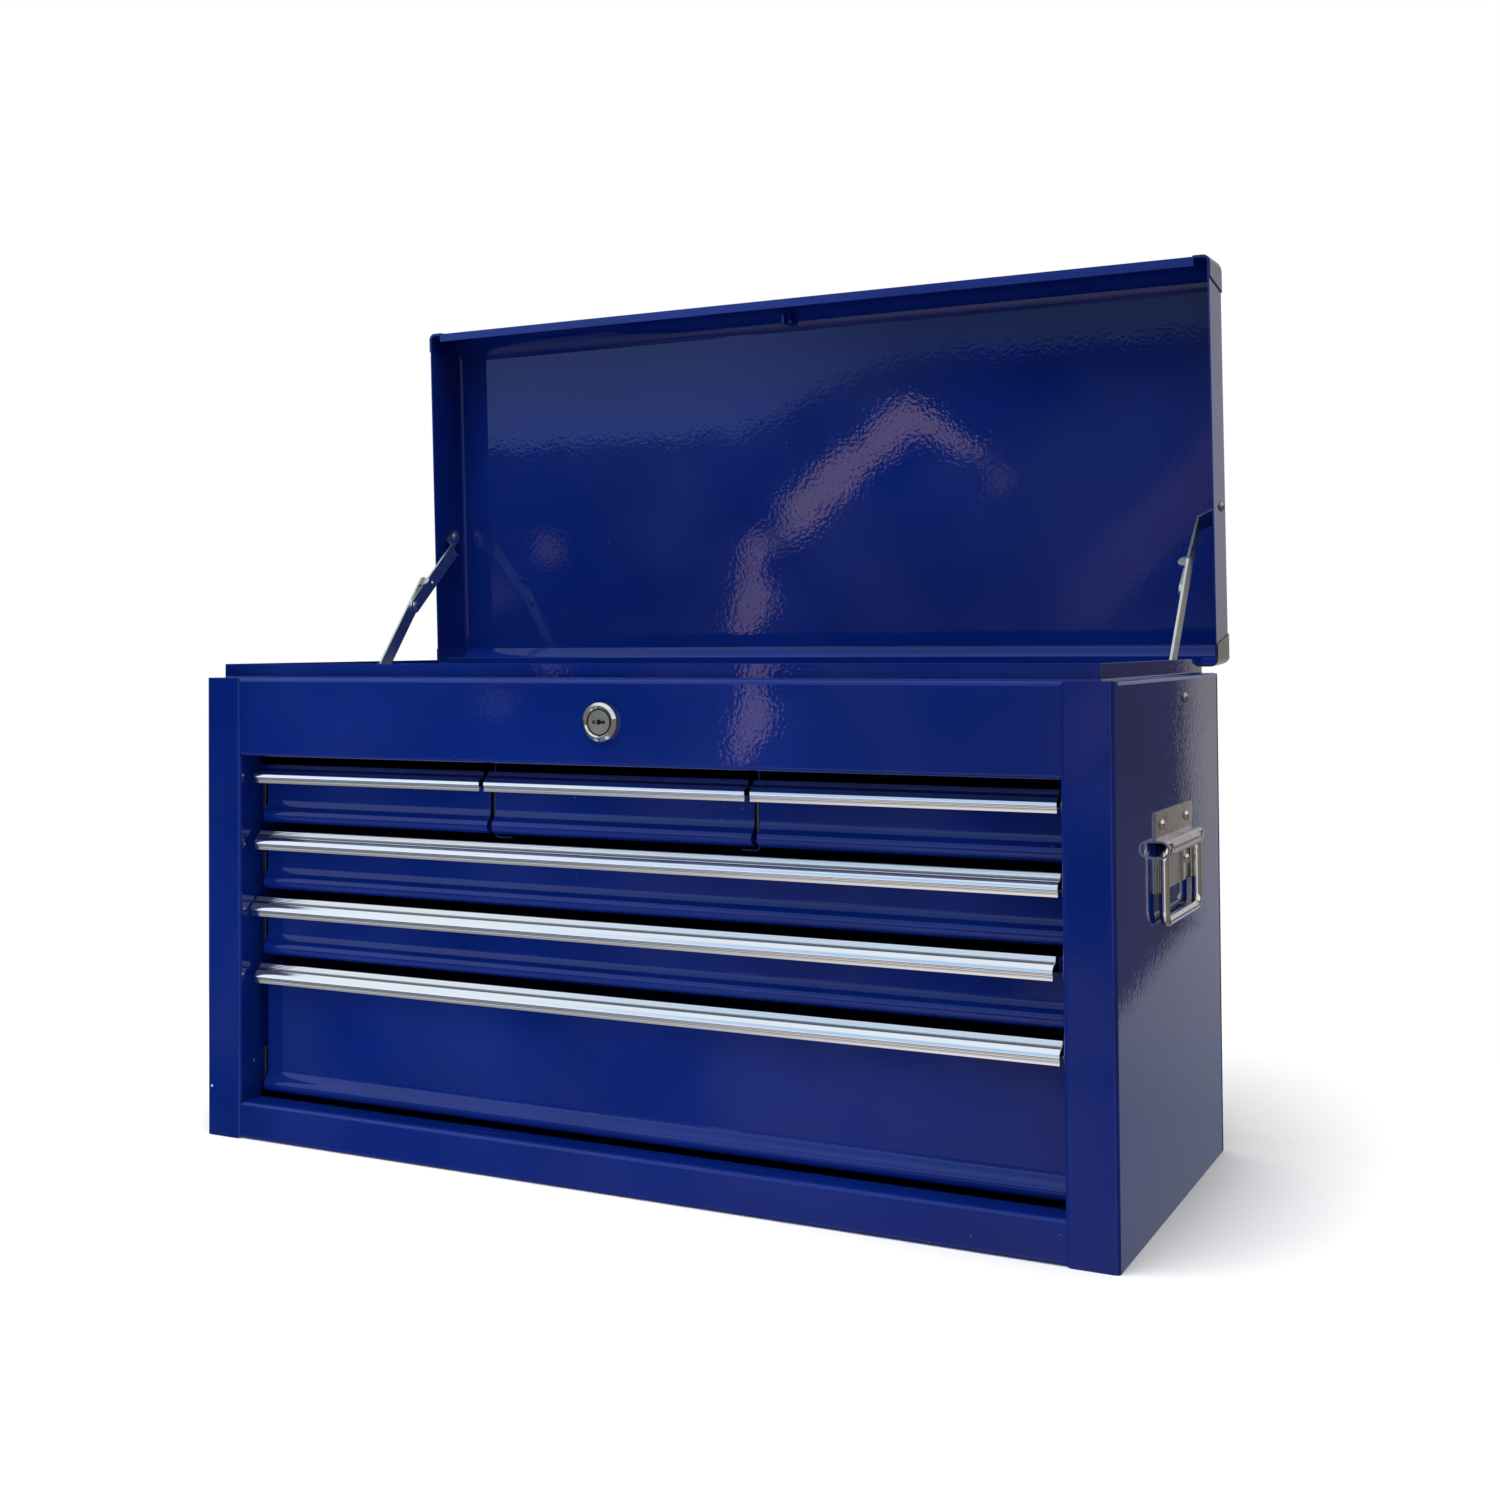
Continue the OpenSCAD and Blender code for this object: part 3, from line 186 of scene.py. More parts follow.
def put(tree, kind, inputs=None, **settings):
    """A node of that kind, with its settings, values and links."""
    node = tree.nodes.new(kind)
    for name, value in settings.items():
        setattr(node, name, value)
    for name, value in (inputs or {}).items():
        connect(tree, node.inputs[name], value)
    return node


def connect(tree, socket, value):
    """Links a socket to another one, or sets its value."""
    if isinstance(value, bpy.types.NodeSocket):
        tree.links.new(value, socket)
    else:
        socket.default_value = value


def math_node(tree, operation, a, b=0.0):
    return put(tree, "ShaderNodeMath", {0: a, 1: b}, operation=operation).outputs[0]


def plus(tree, a, b):
    return math_node(tree, "ADD", a, b)


def minus(tree, a, b):
    return math_node(tree, "SUBTRACT", a, b)


def times(tree, a, b):
    return math_node(tree, "MULTIPLY", a, b)


def ramp(tree, value, low, high, to_low=0.0, to_high=1.0, smooth=True):
    """value taken from low..high to to_low..to_high, held outside."""
    return put(tree, "ShaderNodeMapRange",
               {"Value": value, "From Min": low, "From Max": high, "To Min": to_low, "To Max": to_high},
               interpolation_type="SMOOTHSTEP" if smooth else "LINEAR").outputs[0]


def limits(tree, value, low, high, soft):
    """1 where low < value < high, with soft edges."""
    up = ramp(tree, value, low - soft, low + soft)
    down = ramp(tree, value, high - soft, high + soft, 1.0, 0.0)
    return times(tree, up, down)


def blend(tree, factor, a, b, kind="RGBA"):
    """A mix of two colours, or of two vectors."""
    node = put(tree, "ShaderNodeMix", data_type=kind)
    for name, value in (("Factor", factor), ("A", a), ("B", b)):
        connect(tree, [s for s in node.inputs if s.name == name and s.enabled][0], value)
    return [s for s in node.outputs if s.enabled][0]


def tone(tree, value, stops):
    """A colour that changes with value through the stops (value, colour)."""
    node = put(tree, "ShaderNodeValToRGB", {"Fac": value})
    marks = node.color_ramp.elements
    while len(marks) < len(stops):
        marks.new(0.5)
    for mark, (at, colour) in zip(marks, stops):
        mark.position = at
        mark.color = tuple(colour) + (1.0,)
    return node.outputs[0]


def noise(tree, where, scale, detail=2.0, roughness=0.5):
    return put(tree, "ShaderNodeTexNoise", {"Vector": where, "Scale": scale, "Detail": detail,
                                            "Roughness": roughness}).outputs["Fac"]


def centred_noise(tree, where, scale, detail, size):
    """Noise about zero, size wide."""
    return times(tree, minus(tree, noise(tree, where, scale, detail), 0.5), size)


def stretched(tree, where, factors):
    return put(tree, "ShaderNodeMapping", {"Vector": where, "Scale": factors}).outputs[0]


def opaque(colour, factor=1.0, more=0.0):
    """A colour of three or four numbers times factor, plus more, as an opaque one."""
    return tuple(min(1.0, c * factor + more) for c in colour[:3]) + (1.0,)


def new_material(name, roughness, metallic=0.0, ior=1.5):
    """An empty Principled material, its tree, its shader and its Object coordinates."""
    material = bpy.data.materials.new(name)
    material.use_nodes = True
    tree = material.node_tree
    shader = tree.nodes["Principled BSDF"]
    shader.inputs["Metallic"].default_value = metallic
    shader.inputs["Roughness"].default_value = roughness
    shader.inputs["IOR"].default_value = ior
    where = put(tree, "ShaderNodeTexCoord").outputs["Object"]
    return material, tree, shader, where


def surface(tree, shader, base, roughness, strength, distance, height, normal):
    """Links a colour, a roughness and a bumped direction to the shader."""
    bump = put(tree, "ShaderNodeBump", {"Strength": strength, "Distance": distance, "Height": height,
                                        "Normal": normal}).outputs[0]
    tree.links.new(base, shader.inputs["Base Color"])
    tree.links.new(roughness, shader.inputs["Roughness"])
    tree.links.new(bump, shader.inputs["Normal"])


def rounded_edges(tree, radius, samples):
    return put(tree, "ShaderNodeBevel", {"Radius": radius}, samples=samples).outputs[0]


def openness(tree, reach):
    """1 on an open face, and less in a gap that is narrower than reach."""
    return put(tree, "ShaderNodeAmbientOcclusion", {"Distance": reach}, samples=6).outputs["AO"]


# ---- finishes ----

def gloss_paint(name, colour, peel, dust):
    """Sprayed and baked gloss enamel on steel sheet, with orange peel, a little dust and a few marks."""
    material, tree, shader, where = new_material(name, 0.03, ior=1.42)
    cloud = noise(tree, where, scale=9.0, detail=3.0)
    base = blend(tree, ramp(tree, cloud, 0.3, 0.7), opaque(colour, 0.90), opaque(colour, 1.1, 0.001))
    specks = put(tree, "ShaderNodeTexVoronoi", {"Vector": where, "Scale": 90.0}).outputs["Distance"]
    chosen = ramp(tree, noise(tree, where, scale=37.0, detail=0.0), 0.62, 0.66)
    speck = times(tree, ramp(tree, specks, 0.05, 0.02), chosen)
    base = blend(tree, times(tree, speck, dust), base, DUST)
    for mark, radius, shade in MARKS:
        off = put(tree, "ShaderNodeVectorMath", {0: where, 1: mark}, operation="DISTANCE").outputs["Value"]
        off = plus(tree, off, times(tree, noise(tree, where, scale=700.0, detail=1.0), radius))
        base = blend(tree, ramp(tree, off, radius * 1.6, radius * 1.2), base, shade)
    smudge = noise(tree, where, scale=22.0, detail=4.0, roughness=0.6)
    height = 0.0
    for scale, detail, share in RIPPLES:
        height = plus(tree, height, times(tree, noise(tree, where, scale, detail), share))
    surface(tree, shader, base, ramp(tree, smudge, 0.35, 0.75, 0.010, 0.026), 1.0, peel, height,
            rounded_edges(tree, 0.35 * MM, 6))
    return material


def drawn_aluminium(name, colour, roughness):
    """Extruded aluminium with fine die lines along its length, and painted shade down in its flutes, in its
    corners and on its inside wall.
    """
    material, tree, shader, where = new_material(name, roughness, metallic=1.0, ior=1.45)
    lines = noise(tree, stretched(tree, where, (1.5, 900.0, 900.0)), scale=1.0, detail=1.0)
    stain = noise(tree, where, scale=16.0, detail=3.0)
    dull = opaque(colour, 0.95)
    base = blend(tree, ramp(tree, lines, 0.35, 0.65), dull, colour)
    base = blend(tree, ramp(tree, stain, 0.5, 0.8, 0.0, 0.3), base, dull)
    # painted shade where the pull is closed in, from ambient occlusion
    base = blend(tree, ramp(tree, openness(tree, 0.6 * MM), 0.92, 0.62, 0.0, 0.3), base, CORNER_SHADE)
    part = put(tree, "ShaderNodeSeparateXYZ", {"Vector": where})
    count = math_node(tree, "DIVIDE", minus(tree, FLUTE_START, part.outputs["Y"]), FLUTE_PITCH)
    drop = math_node(tree, "MODULO", minus(tree, PULL_TOP, part.outputs["Z"]), PULL_PITCH)
    # painted shade along the bottoms of the flutes
    base = blend(tree, flute_shade_lines(tree, count, drop), base, FLUTE_SHADE)
    # painted shade on the pull's inside wall behind the first flute
    shaded_inside = times(tree, ramp(tree, part.outputs["Y"], FLUTE_START - PULL_LINE, FLUTE_START + 0.5 * MM),
                   ramp(tree, drop, 0.6 * MM, 1.2 * MM))
    base = blend(tree, shaded_inside, base, PULL_INSIDE_SHADE)
    surface(tree, shader, base, ramp(tree, lines, 0.2, 0.8, roughness - 0.02, roughness + 0.03),
            0.2, 4e-7, lines, pull_direction(tree, count, drop))
    return material


def flute_shade_lines(tree, count, drop):
    """Painted shade along the bottom of each flute, most in the last one before the nose."""
    turn = math_node(tree, "FRACT", plus(tree, count, 0.5))
    thin = times(tree, limits(tree, turn, 0.26, 0.74, 0.08), ramp(tree, count, 3.3, 3.5, 0.75, 0.0))
    last = times(tree, limits(tree, count, 3.45, 4.60, 0.1), 0.92)
    return times(tree, math_node(tree, "MAXIMUM", thin, last),
                 ramp(tree, drop, FLUTED_DROP, FLUTED_DROP + PULL_LINE, 1.0, 0.0))


def pull_direction(tree, count, drop):
    """Which way a pull faces: even over its flutes, fuller at the nose and drawn in at the lip."""
    nose = times(tree, ramp(tree, drop, FLUTED_DROP + NOSE_START, FLUTED_DROP + NOSE_FULL),
                 ramp(tree, drop, FLUTED_DROP + NOSE_PAST, FLUTED_DROP + NOSE_END, 1.0, 0.0))
    lip = ramp(tree, drop, FLUTED_DROP + LIP_START, FLUTED_DROP + LIP_FULL)
    lift = minus(tree, times(tree, nose, NOSE_LIFT), times(tree, lip, LIP_DROP))
    fluted = times(tree, limits(tree, count, -0.1, 5.6, 0.1),
                   ramp(tree, drop, FLUTED_DROP, FLUTED_DROP + PULL_LINE, FLUTES_EVEN, 0.0))
    facing = put(tree, "ShaderNodeNewGeometry").outputs["Normal"]
    facing = blend(tree, fluted, facing, SLOPE_FACES, kind="VECTOR")
    upwards = put(tree, "ShaderNodeCombineXYZ", {"Z": lift}).outputs[0]
    tilted = put(tree, "ShaderNodeVectorMath", {0: facing, 1: upwards}, operation="ADD").outputs["Vector"]
    return put(tree, "ShaderNodeVectorMath", {0: tilted}, operation="NORMALIZE").outputs["Vector"]


def plated_steel(name, colour, tint, roughness, spangle, gap_shade_reach=0.0):
    """Plated sheet steel: soft cloudy grain, a slight tint and, where its last argument is set, painted shade
    in gaps narrower than it.
    """
    material, tree, shader, where = new_material(name, roughness, metallic=1.0, ior=1.45)
    cloud = noise(tree, where, scale=70.0, detail=4.0, roughness=0.6)
    cells = put(tree, "ShaderNodeTexVoronoi", {"Vector": where, "Scale": spangle}).outputs["Color"]
    cell = put(tree, "ShaderNodeSeparateColor", {"Color": cells}).outputs[0]
    base = blend(tree, ramp(tree, cloud, 0.3, 0.7), colour, tint)
    base = blend(tree, times(tree, cell, 0.12), base, SPANGLE)
    if gap_shade_reach:
        # painted shade in gaps, from ambient occlusion
        base = blend(tree, ramp(tree, openness(tree, gap_shade_reach), 0.34, 0.10), base, GAP_SHADE)
    surface(tree, shader, base, ramp(tree, cloud, 0.2, 0.8, max(0.02, roughness - 0.05), roughness + 0.07),
            0.5, 1e-5, cloud, rounded_edges(tree, 0.25 * MM, 4))
    return material


def black_enamel(name):
    """Black enamel on the pressed corner caps, with a fine grain."""
    material, tree, shader, where = new_material(name, 0.12)
    grain = noise(tree, where, scale=900.0, detail=2.0)
    rub = noise(tree, where, scale=60.0, detail=3.0)
    base = blend(tree, ramp(tree, rub, 0.45, 0.8), CAP_BLACK, CAP_RUBBED)
    surface(tree, shader, base, ramp(tree, grain, 0.3, 0.7, 0.09, 0.16), 0.3, 3e-6, grain,
            rounded_edges(tree, 0.4 * MM, 4))
    return material


def dress(names, material):
    """Gives CAD nodes one finish."""
    for name in names:
        data = nodes[name].data
        data.materials.clear()
        data.materials.append(material)


# ---- small parts ----

def finished(name, bm, material, body):
    """Turns a bmesh into a piece that rides on a body."""
    bmesh.ops.recalc_face_normals(bm, faces=bm.faces)
    mesh = bpy.data.meshes.new(name)
    bm.to_mesh(mesh)
    bm.free()
    for face in mesh.polygons:
        face.use_smooth = True
    piece = bpy.data.objects.new(name, mesh)
    bpy.context.scene.collection.objects.link(piece)
    mesh.materials.append(material)
    mesh.set_sharp_from_angle(angle=math.radians(40))
    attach(piece, body)


def rivet(bm, place, out, radius, height):
    """A low domed rivet head that stands on place and points along out."""
    made = bmesh.ops.create_cone(bm, cap_ends=True, segments=24, radius1=radius, radius2=radius, depth=height)
    verts = made["verts"]
    rim = [e for e in bm.edges
           if all(v in verts and v.co.z > 0 for v in e.verts) and len(e.link_faces) == 2]
    rounded = bmesh.ops.bevel(bm, geom=rim, offset=height * 0.85, offset_type="OFFSET", affect="EDGES",
                              segments=4, profile=0.5, material=-1)
    verts = list({v for v in verts if v.is_valid} | set(rounded["verts"]))
    turn = Vector((0.0, 0.0, 1.0)).rotation_difference(Vector(out)).to_matrix().to_4x4()
    lift = Matrix.Translation(Vector(place)) @ turn @ Matrix.Translation((0.0, 0.0, height / 2))
    bmesh.ops.transform(bm, matrix=lift, verts=verts)


def opened(place):
    """Where a point of the closed lid stands on the open lid."""
    pin = Vector((0.0, PIN_Y, PIN_Z))
    return pin + Matrix.Rotation(LID_TURN, 3, "X") @ (Vector(place) - pin)


# ---- user settings ----

class PaintSettings(bpy.types.PropertyGroup):
    colour: bpy.props.FloatVectorProperty(
        name="Paint", description="Colour of the enamel", subtype="COLOR", size=3,
        min=0.0, max=1.0, default=(0.0016, 0.0130, 0.140))
    peel: bpy.props.FloatProperty(
        name="Orange peel", description="Height of the ripples in the enamel", subtype="DISTANCE",
        unit="LENGTH", min=0.0, max=0.0002, precision=6, default=0.000017)
    dust: bpy.props.FloatProperty(
        name="Dust", description="How strongly small specks of dust show", subtype="FACTOR",
        min=0.0, max=1.0, default=0.35)


class MetalSettings(bpy.types.PropertyGroup):
    aluminium: bpy.props.FloatVectorProperty(
        name="Pulls", description="Colour of the aluminium pulls", subtype="COLOR", size=3,
        min=0.0, max=1.0, default=(0.90, 0.90, 0.92))
    aluminium_roughness: bpy.props.FloatProperty(
        name="Pull roughness", description="Roughness of the aluminium pulls", subtype="FACTOR",
        min=0.0, max=1.0, default=0.10)
    chrome: bpy.props.FloatVectorProperty(
        name="Chrome", description="Colour of the handles and the lock", subtype="COLOR", size=3,
        min=0.0, max=1.0, default=(0.86, 0.84, 0.80))
    rivet: bpy.props.FloatProperty(
        name="Rivet heads", description="Diameter of the small rivet heads", subtype="DISTANCE",
        unit="LENGTH", min=0.001, max=0.005, precision=4, default=0.003)
    zinc: bpy.props.FloatVectorProperty(
        name="Zinc", description="Colour of the stays and the hinge", subtype="COLOR", size=3,
        min=0.0, max=1.0, default=(0.74, 0.78, 0.74))


class StudioSettings(bpy.types.PropertyGroup):
    fill: bpy.props.FloatProperty(
        name="Fill", description="Strength of the light from all round", min=0.0, max=2.0, default=0.55)
    key: bpy.props.FloatProperty(
        name="Key lamp", description="Power of the large lamp", unit="POWER", min=0.0, max=500.0,
        default=15.0)


def settings():
    """The paint, metal and studio settings of this scene."""
    scene = bpy.context.scene
    return scene.tool_chest_paint, scene.tool_chest_metal, scene.tool_chest_studio


# ---- operators ----

class TOOLCHEST_OT_paint(bpy.types.Operator):
    """Paint the cabinet, the drawers and the lid in gloss enamel"""
    bl_idname = "toolchest.paint"
    bl_label = "Paint the sheet metal"

    def execute(self, context):
        paint, _, _ = settings()
        dress(PAINTED, gloss_paint("blue_gloss_enamel", opaque(paint.colour), paint.peel, paint.dust))
        dress(["lid_corner_caps"], black_enamel("black_cap_enamel"))
        return {"FINISHED"}


class TOOLCHEST_OT_pulls(bpy.types.Operator):
    """Give the drawer pulls their drawn aluminium"""
    bl_idname = "toolchest.pulls"
    bl_label = "Finish the pulls"

    def execute(self, context):
        _, metal, _ = settings()
        finish = drawn_aluminium("drawn_aluminium", opaque(metal.aluminium), metal.aluminium_roughness)
        dress([n for n in nodes if n.startswith("pull_")], finish)
        return {"FINISHED"}


class TOOLCHEST_OT_hardware(bpy.types.Operator):
    """Finish the slides, the hinge, the stays, the lock and the handles"""
    bl_idname = "toolchest.hardware"
    bl_label = "Finish the hardware"

    def execute(self, context):
        _, metal, _ = settings()
        # the slides take painted shade in gaps narrower than 12 mm
        slide = plated_steel("slide_zinc_plate", *SLIDE_ZINC, gap_shade_reach=12 * MM)
        bright = plated_steel("bright_zinc_plate", opaque(metal.zinc), *BRIGHT_ZINC)
        dull = plated_steel("rivet_steel", *RIVET_STEEL)
        polished = plated_steel("polished_chrome", opaque(metal.chrome), *POLISHED_CHROME)
        bracket = plated_steel("handle_bracket_nickel", *BRACKET_NICKEL)
        plug = plated_steel("lock_nickel", *LOCK_NICKEL)
        for name in nodes:
            if name in PAINTED or name == "lid_corner_caps" or name.startswith("pull_"):
                continue
            if name.startswith(("rail", "runner", "slide")):
                dress([name], slide)
            elif name.startswith(("hinge", "stay_upper", "stay_lower")):
                dress([name], bright)
            elif name in ("lid_rivets", "stay_studs"):
                dress([name], dull)
            elif name in ("lock_plug", "lock_cam", "lock_nut"):
                dress([name], plug)
            elif name.startswith("handle_plate"):
                dress([name], bracket)
            else:
                dress([name], polished)
        return {"FINISHED"}


class TOOLCHEST_OT_rivets(bpy.types.Operator):
    """Add the small rivets of the stiles and of the hinge"""
    bl_idname = "toolchest.rivets"
    bl_label = "Add the rivets"

    def execute(self, context):
        _, metal, _ = settings()
        small = plated_steel("rivet_heads", *SMALL_HEADS)
        size = metal.rivet / 2
        stile_head = [size * share for share in STILE_HEAD]
        hinge_head = [size * share for share in HINGE_HEAD]
        bm = bmesh.new()
        for side in (-1, 1):
            for y, z in STILE_RIVETS:
                rivet(bm, (side * STILE_X, y, z), (-side, 0.0, 0.0), *stile_head)
        finished("stile_rivets", bm, small, "cabinet")
        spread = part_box("hinge_leaf_body")[1][0] - HINGE_END
        places = [spread * (2 * i / (HINGE_RIVETS - 1) - 1) for i in range(HINGE_RIVETS)]
        bm = bmesh.new()
        for x in places:
            rivet(bm, (x, BACK_Y + HINGE_LEAF, PIN_Z - LEAF_REACH), (0.0, 1.0, 0.0), *hinge_head)
        finished("hinge_rivets_body", bm, small, "cabinet")
        out = Matrix.Rotation(LID_TURN, 3, "X") @ Vector((0.0, 1.0, 0.0))
        bm = bmesh.new()
        for x in places:
            rivet(bm, opened((x, BACK_Y + HINGE_LEAF, PIN_Z + LEAF_REACH)), out, *hinge_head)
        finished("hinge_rivets_lid", bm, small, "lid")
        return {"FINISHED"}


class TOOLCHEST_OT_lock_face(bpy.types.Operator):
    """Add a dark ring of painted shadow in the gap round the lock plug, and the shutter in its key slot"""
    bl_idname = "toolchest.lock_face"
    bl_label = "Finish the lock's face"

    def execute(self, context):
        low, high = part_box("lock_plug")
        x, y, z = (low[0] + high[0]) / 2, low[1], (low[2] + high[2]) / 2
        upright = Matrix.Rotation(math.radians(90.0), 4, "X")
        # a dark ring of painted shadow stands in the gap round the plug
        gap = plated_steel("lock_ring_shadow", *RING_SHADOW)
        nickel = plated_steel("lock_ring_nickel", *SHUTTER_NICKEL)
        bm = bmesh.new()
        made = bmesh.ops.create_circle(bm, segments=10, radius=RING_WIRE)
        out = Matrix.Translation(((high[0] - low[0]) / 2 * RING_SHARE, 0.0, 0.0))
        bmesh.ops.transform(bm, matrix=out @ upright, verts=made["verts"])
        bmesh.ops.spin(bm, geom=list(bm.verts) + list(bm.edges), cent=(0.0, 0.0, 0.0), axis=(0.0, 0.0, 1.0),
                       angle=math.tau, steps=48, use_merge=True)
        bmesh.ops.remove_doubles(bm, verts=bm.verts, dist=1e-6)
        bmesh.ops.transform(bm, matrix=Matrix.Translation((x, y + RING_DEPTH, z)) @ upright, verts=bm.verts)
        finished("lock_plug_shadow_ring", bm, gap, "lock_cylinder")
        bm = bmesh.new()
        made = bmesh.ops.create_cube(bm, size=1.0)
        place = Matrix.Translation((x - SHUTTER_LEFT, y + SHUTTER_DEPTH, z))
        bmesh.ops.transform(bm, matrix=place @ Matrix.Diagonal(SHUTTER_SIZE + (1.0,)), verts=made["verts"])
        bmesh.ops.bevel(bm, geom=list(bm.edges), offset=SHUTTER_EDGE, offset_type="OFFSET", affect="EDGES",
                        segments=2, profile=0.5, material=-1)
        finished("lock_shutter", bm, nickel, "lock_cylinder")
        return {"FINISHED"}


class TOOLCHEST_OT_studio(bpy.types.Operator):
    """Set the floor, the surroundings and the lamps"""
    bl_idname = "toolchest.studio"
    bl_label = "Build the studio"

    def execute(self, context):
        _, _, studio = settings()
        context.scene.view_settings.view_transform = "Standard"
        make_floor()
        make_surroundings(studio.fill)
        for name, place, target, size, share in LAMPS:
            lamp(name, place, target, size, studio.key * share)
        return {"FINISHED"}


class TOOLCHEST_OT_camera(bpy.types.Operator):
    """Place the camera where the photograph was taken"""
    bl_idname = "toolchest.camera"
    bl_label = "Place the camera"

    def execute(self, context):
        data = bpy.data.cameras.new("view")
        data.sensor_fit, data.sensor_width = "HORIZONTAL", SENSOR
        data.lens, (data.shift_x, data.shift_y) = LENS, SHIFT
        data.clip_start, data.clip_end = 0.05, 50.0
        eye = bpy.data.objects.new("view", data)
        right, up = Vector(EYE_RIGHT), Vector(EYE_UP)
        back = right.cross(up).normalized()
        up = back.cross(right).normalized()
        turn = Matrix((right.normalized(), up, back)).transposed().to_4x4()
        eye.matrix_world = Matrix.Translation(EYE) @ turn
        context.scene.collection.objects.link(eye)
        context.scene.camera = eye
        return {"FINISHED"}


# ---- studio ----

def lamp(name, place, target, size, power):
    """A square lamp that lights the chest and isn't seen, nor mirrored."""
    data = bpy.data.lights.new(name, "AREA")
    data.shape, data.size, data.energy = "SQUARE", size, power
    light = bpy.data.objects.new(name, data)
    light.visible_glossy = light.visible_camera = False
    aim = (Vector(target) - Vector(place)).to_track_quat("-Z", "Y")
    light.matrix_world = Matrix.Translation(place) @ aim.to_matrix().to_4x4()
    bpy.context.scene.collection.objects.link(light)


def make_floor():
    """A wide pale floor that keeps the chest's shadow and runs into the white behind."""
    bm = bmesh.new()
    bmesh.ops.create_grid(bm, x_segments=1, y_segments=1, size=FLOOR_REACH)
    mesh = bpy.data.meshes.new("studio_floor")
    bm.to_mesh(mesh)
    bm.free()
    floor = bpy.data.objects.new("studio_floor", mesh)
    bpy.context.scene.collection.objects.link(floor)
    material, tree, shader, where = new_material("pale_floor", 0.9)
    shader.inputs["Specular IOR Level"].default_value = 0.0
    reach = put(tree, "ShaderNodeVectorMath", {0: where}, operation="LENGTH").outputs["Value"]
    ray = put(tree, "ShaderNodeLightPath").outputs
    tree.links.new(blend(tree, ray["Is Camera Ray"], FLOOR_LIT, FLOOR_SEEN), shader.inputs["Base Color"])
    white = put(tree, "ShaderNodeEmission", {"Color": WHITE, "Strength": 1.0})
    fade = times(tree, ramp(tree, reach, *FLOOR_FADE), ray["Is Camera Ray"])
    near = put(tree, "ShaderNodeMixShader", {0: fade, 1: shader.outputs[0], 2: white.outputs[0]})
    # polished faces see the surroundings in its place, which have a ground of their own
    clear = put(tree, "ShaderNodeBsdfTransparent")
    out = put(tree, "ShaderNodeMixShader", {0: ray["Is Glossy Ray"], 1: near.outputs[0], 2: clear.outputs[0]})
    tree.links.new(out.outputs[0], tree.nodes["Material Output"].inputs["Surface"])
    mesh.materials.append(material)


def from_minus_one(tree, z):
    """z taken from -1..1 to 0..1."""
    return put(tree, "ShaderNodeMapRange", {"Value": z, "From Min": -1.0}).outputs[0]


def front_yard(tree, across, height, z):
    """Dim mottled ground, darker to the left, pale and then brown to the right."""
    ground = tone(tree, from_minus_one(tree, z), YARD)
    flat = put(tree, "ShaderNodeCombineXYZ", {0: across, 1: height}).outputs[0]
    mottle = ramp(tree, noise(tree, flat, scale=9.0, detail=3.0), 0.35, 0.65, 0.2, 1.4)
    ground = blend(tree, times(tree, ramp(tree, across, -0.42, -0.72), 0.60), ground, YARD_LEFT)
    dim = put(tree, "ShaderNodeVectorMath", {0: ground, "Scale": mottle}, operation="SCALE").outputs[0]
    ground = blend(tree, ramp(tree, z, -0.33, -0.22), ground, dim)
    ground = blend(tree, limits(tree, across, 0.16, 0.62, 0.06), ground, YARD_RIGHT)
    return blend(tree, ramp(tree, across, 0.62, 1.2), ground, YARD_FAR_RIGHT)


def front_sky(tree, across, height, x, z):
    """A bright sky, blue and low over the roof line, with a wall far to the right."""
    low = blend(tree, ramp(tree, across, -0.50, -0.34), SKY_LOW_LEFT, SKY_LOW_RIGHT)
    sky = blend(tree, ramp(tree, height, 0.11, 0.24), low, SKY_PALE)
    high = blend(tree, ramp(tree, x, -0.56, -0.38), SKY_LEFT, SKY_RIGHT)
    sky = blend(tree, ramp(tree, z, 0.24, 0.40), sky, high)
    sky = blend(tree, ramp(tree, z, 0.76, 0.90), sky, SKY_TOP)
    wall = blend(tree, ramp(tree, z, 0.20, 0.30), WALL_FOOT, WALL_TOP)
    return blend(tree, ramp(tree, across, 0.9, 2.0), sky, wall)


def bent_strip(tree, across, height, rough):
    """A bent strip of sun under the roof line."""
    peak = times(tree, math_node(tree, "ABSOLUTE", minus(tree, across, STRIP_PEAK[0])), STRIP_SLOPE)
    bent = plus(tree, plus(tree, minus(tree, height, STRIP_PEAK[1]), peak), rough)
    foot = ramp(tree, across, *STRIP_FOOT, smooth=False)
    strip = times(tree, ramp(tree, minus(tree, bent, foot), -0.003, 0.004),
                  ramp(tree, bent, -0.003, 0.003, 1.0, 0.0))
    return times(tree, strip, limits(tree, across, *STRIP_ENDS, 0.006))


def upright_streak(tree, across, height, rough):
    """An upright streak of sun, left of the bent strip and below it."""
    lean = minus(tree, times(tree, rough, STREAK_RAGGED), times(tree, height, STREAK_LEAN))
    streak = times(tree, limits(tree, plus(tree, across, lean), *STREAK_SIDES, 0.003),
                   limits(tree, height, *STREAK_ENDS, 0.008))
    return times(tree, streak, STREAK_SHARE)


def glint(tree, across, height, rough, place, size, share):
    """A soft round spot of sun."""
    off = minus(tree, across, place[0])
    up = minus(tree, height, place[1])
    far = math_node(tree, "SQRT", plus(tree, times(tree, off, off), times(tree, up, up)))
    return ramp(tree, plus(tree, far, rough), size * 0.5, size * 1.2, share, 0.0)


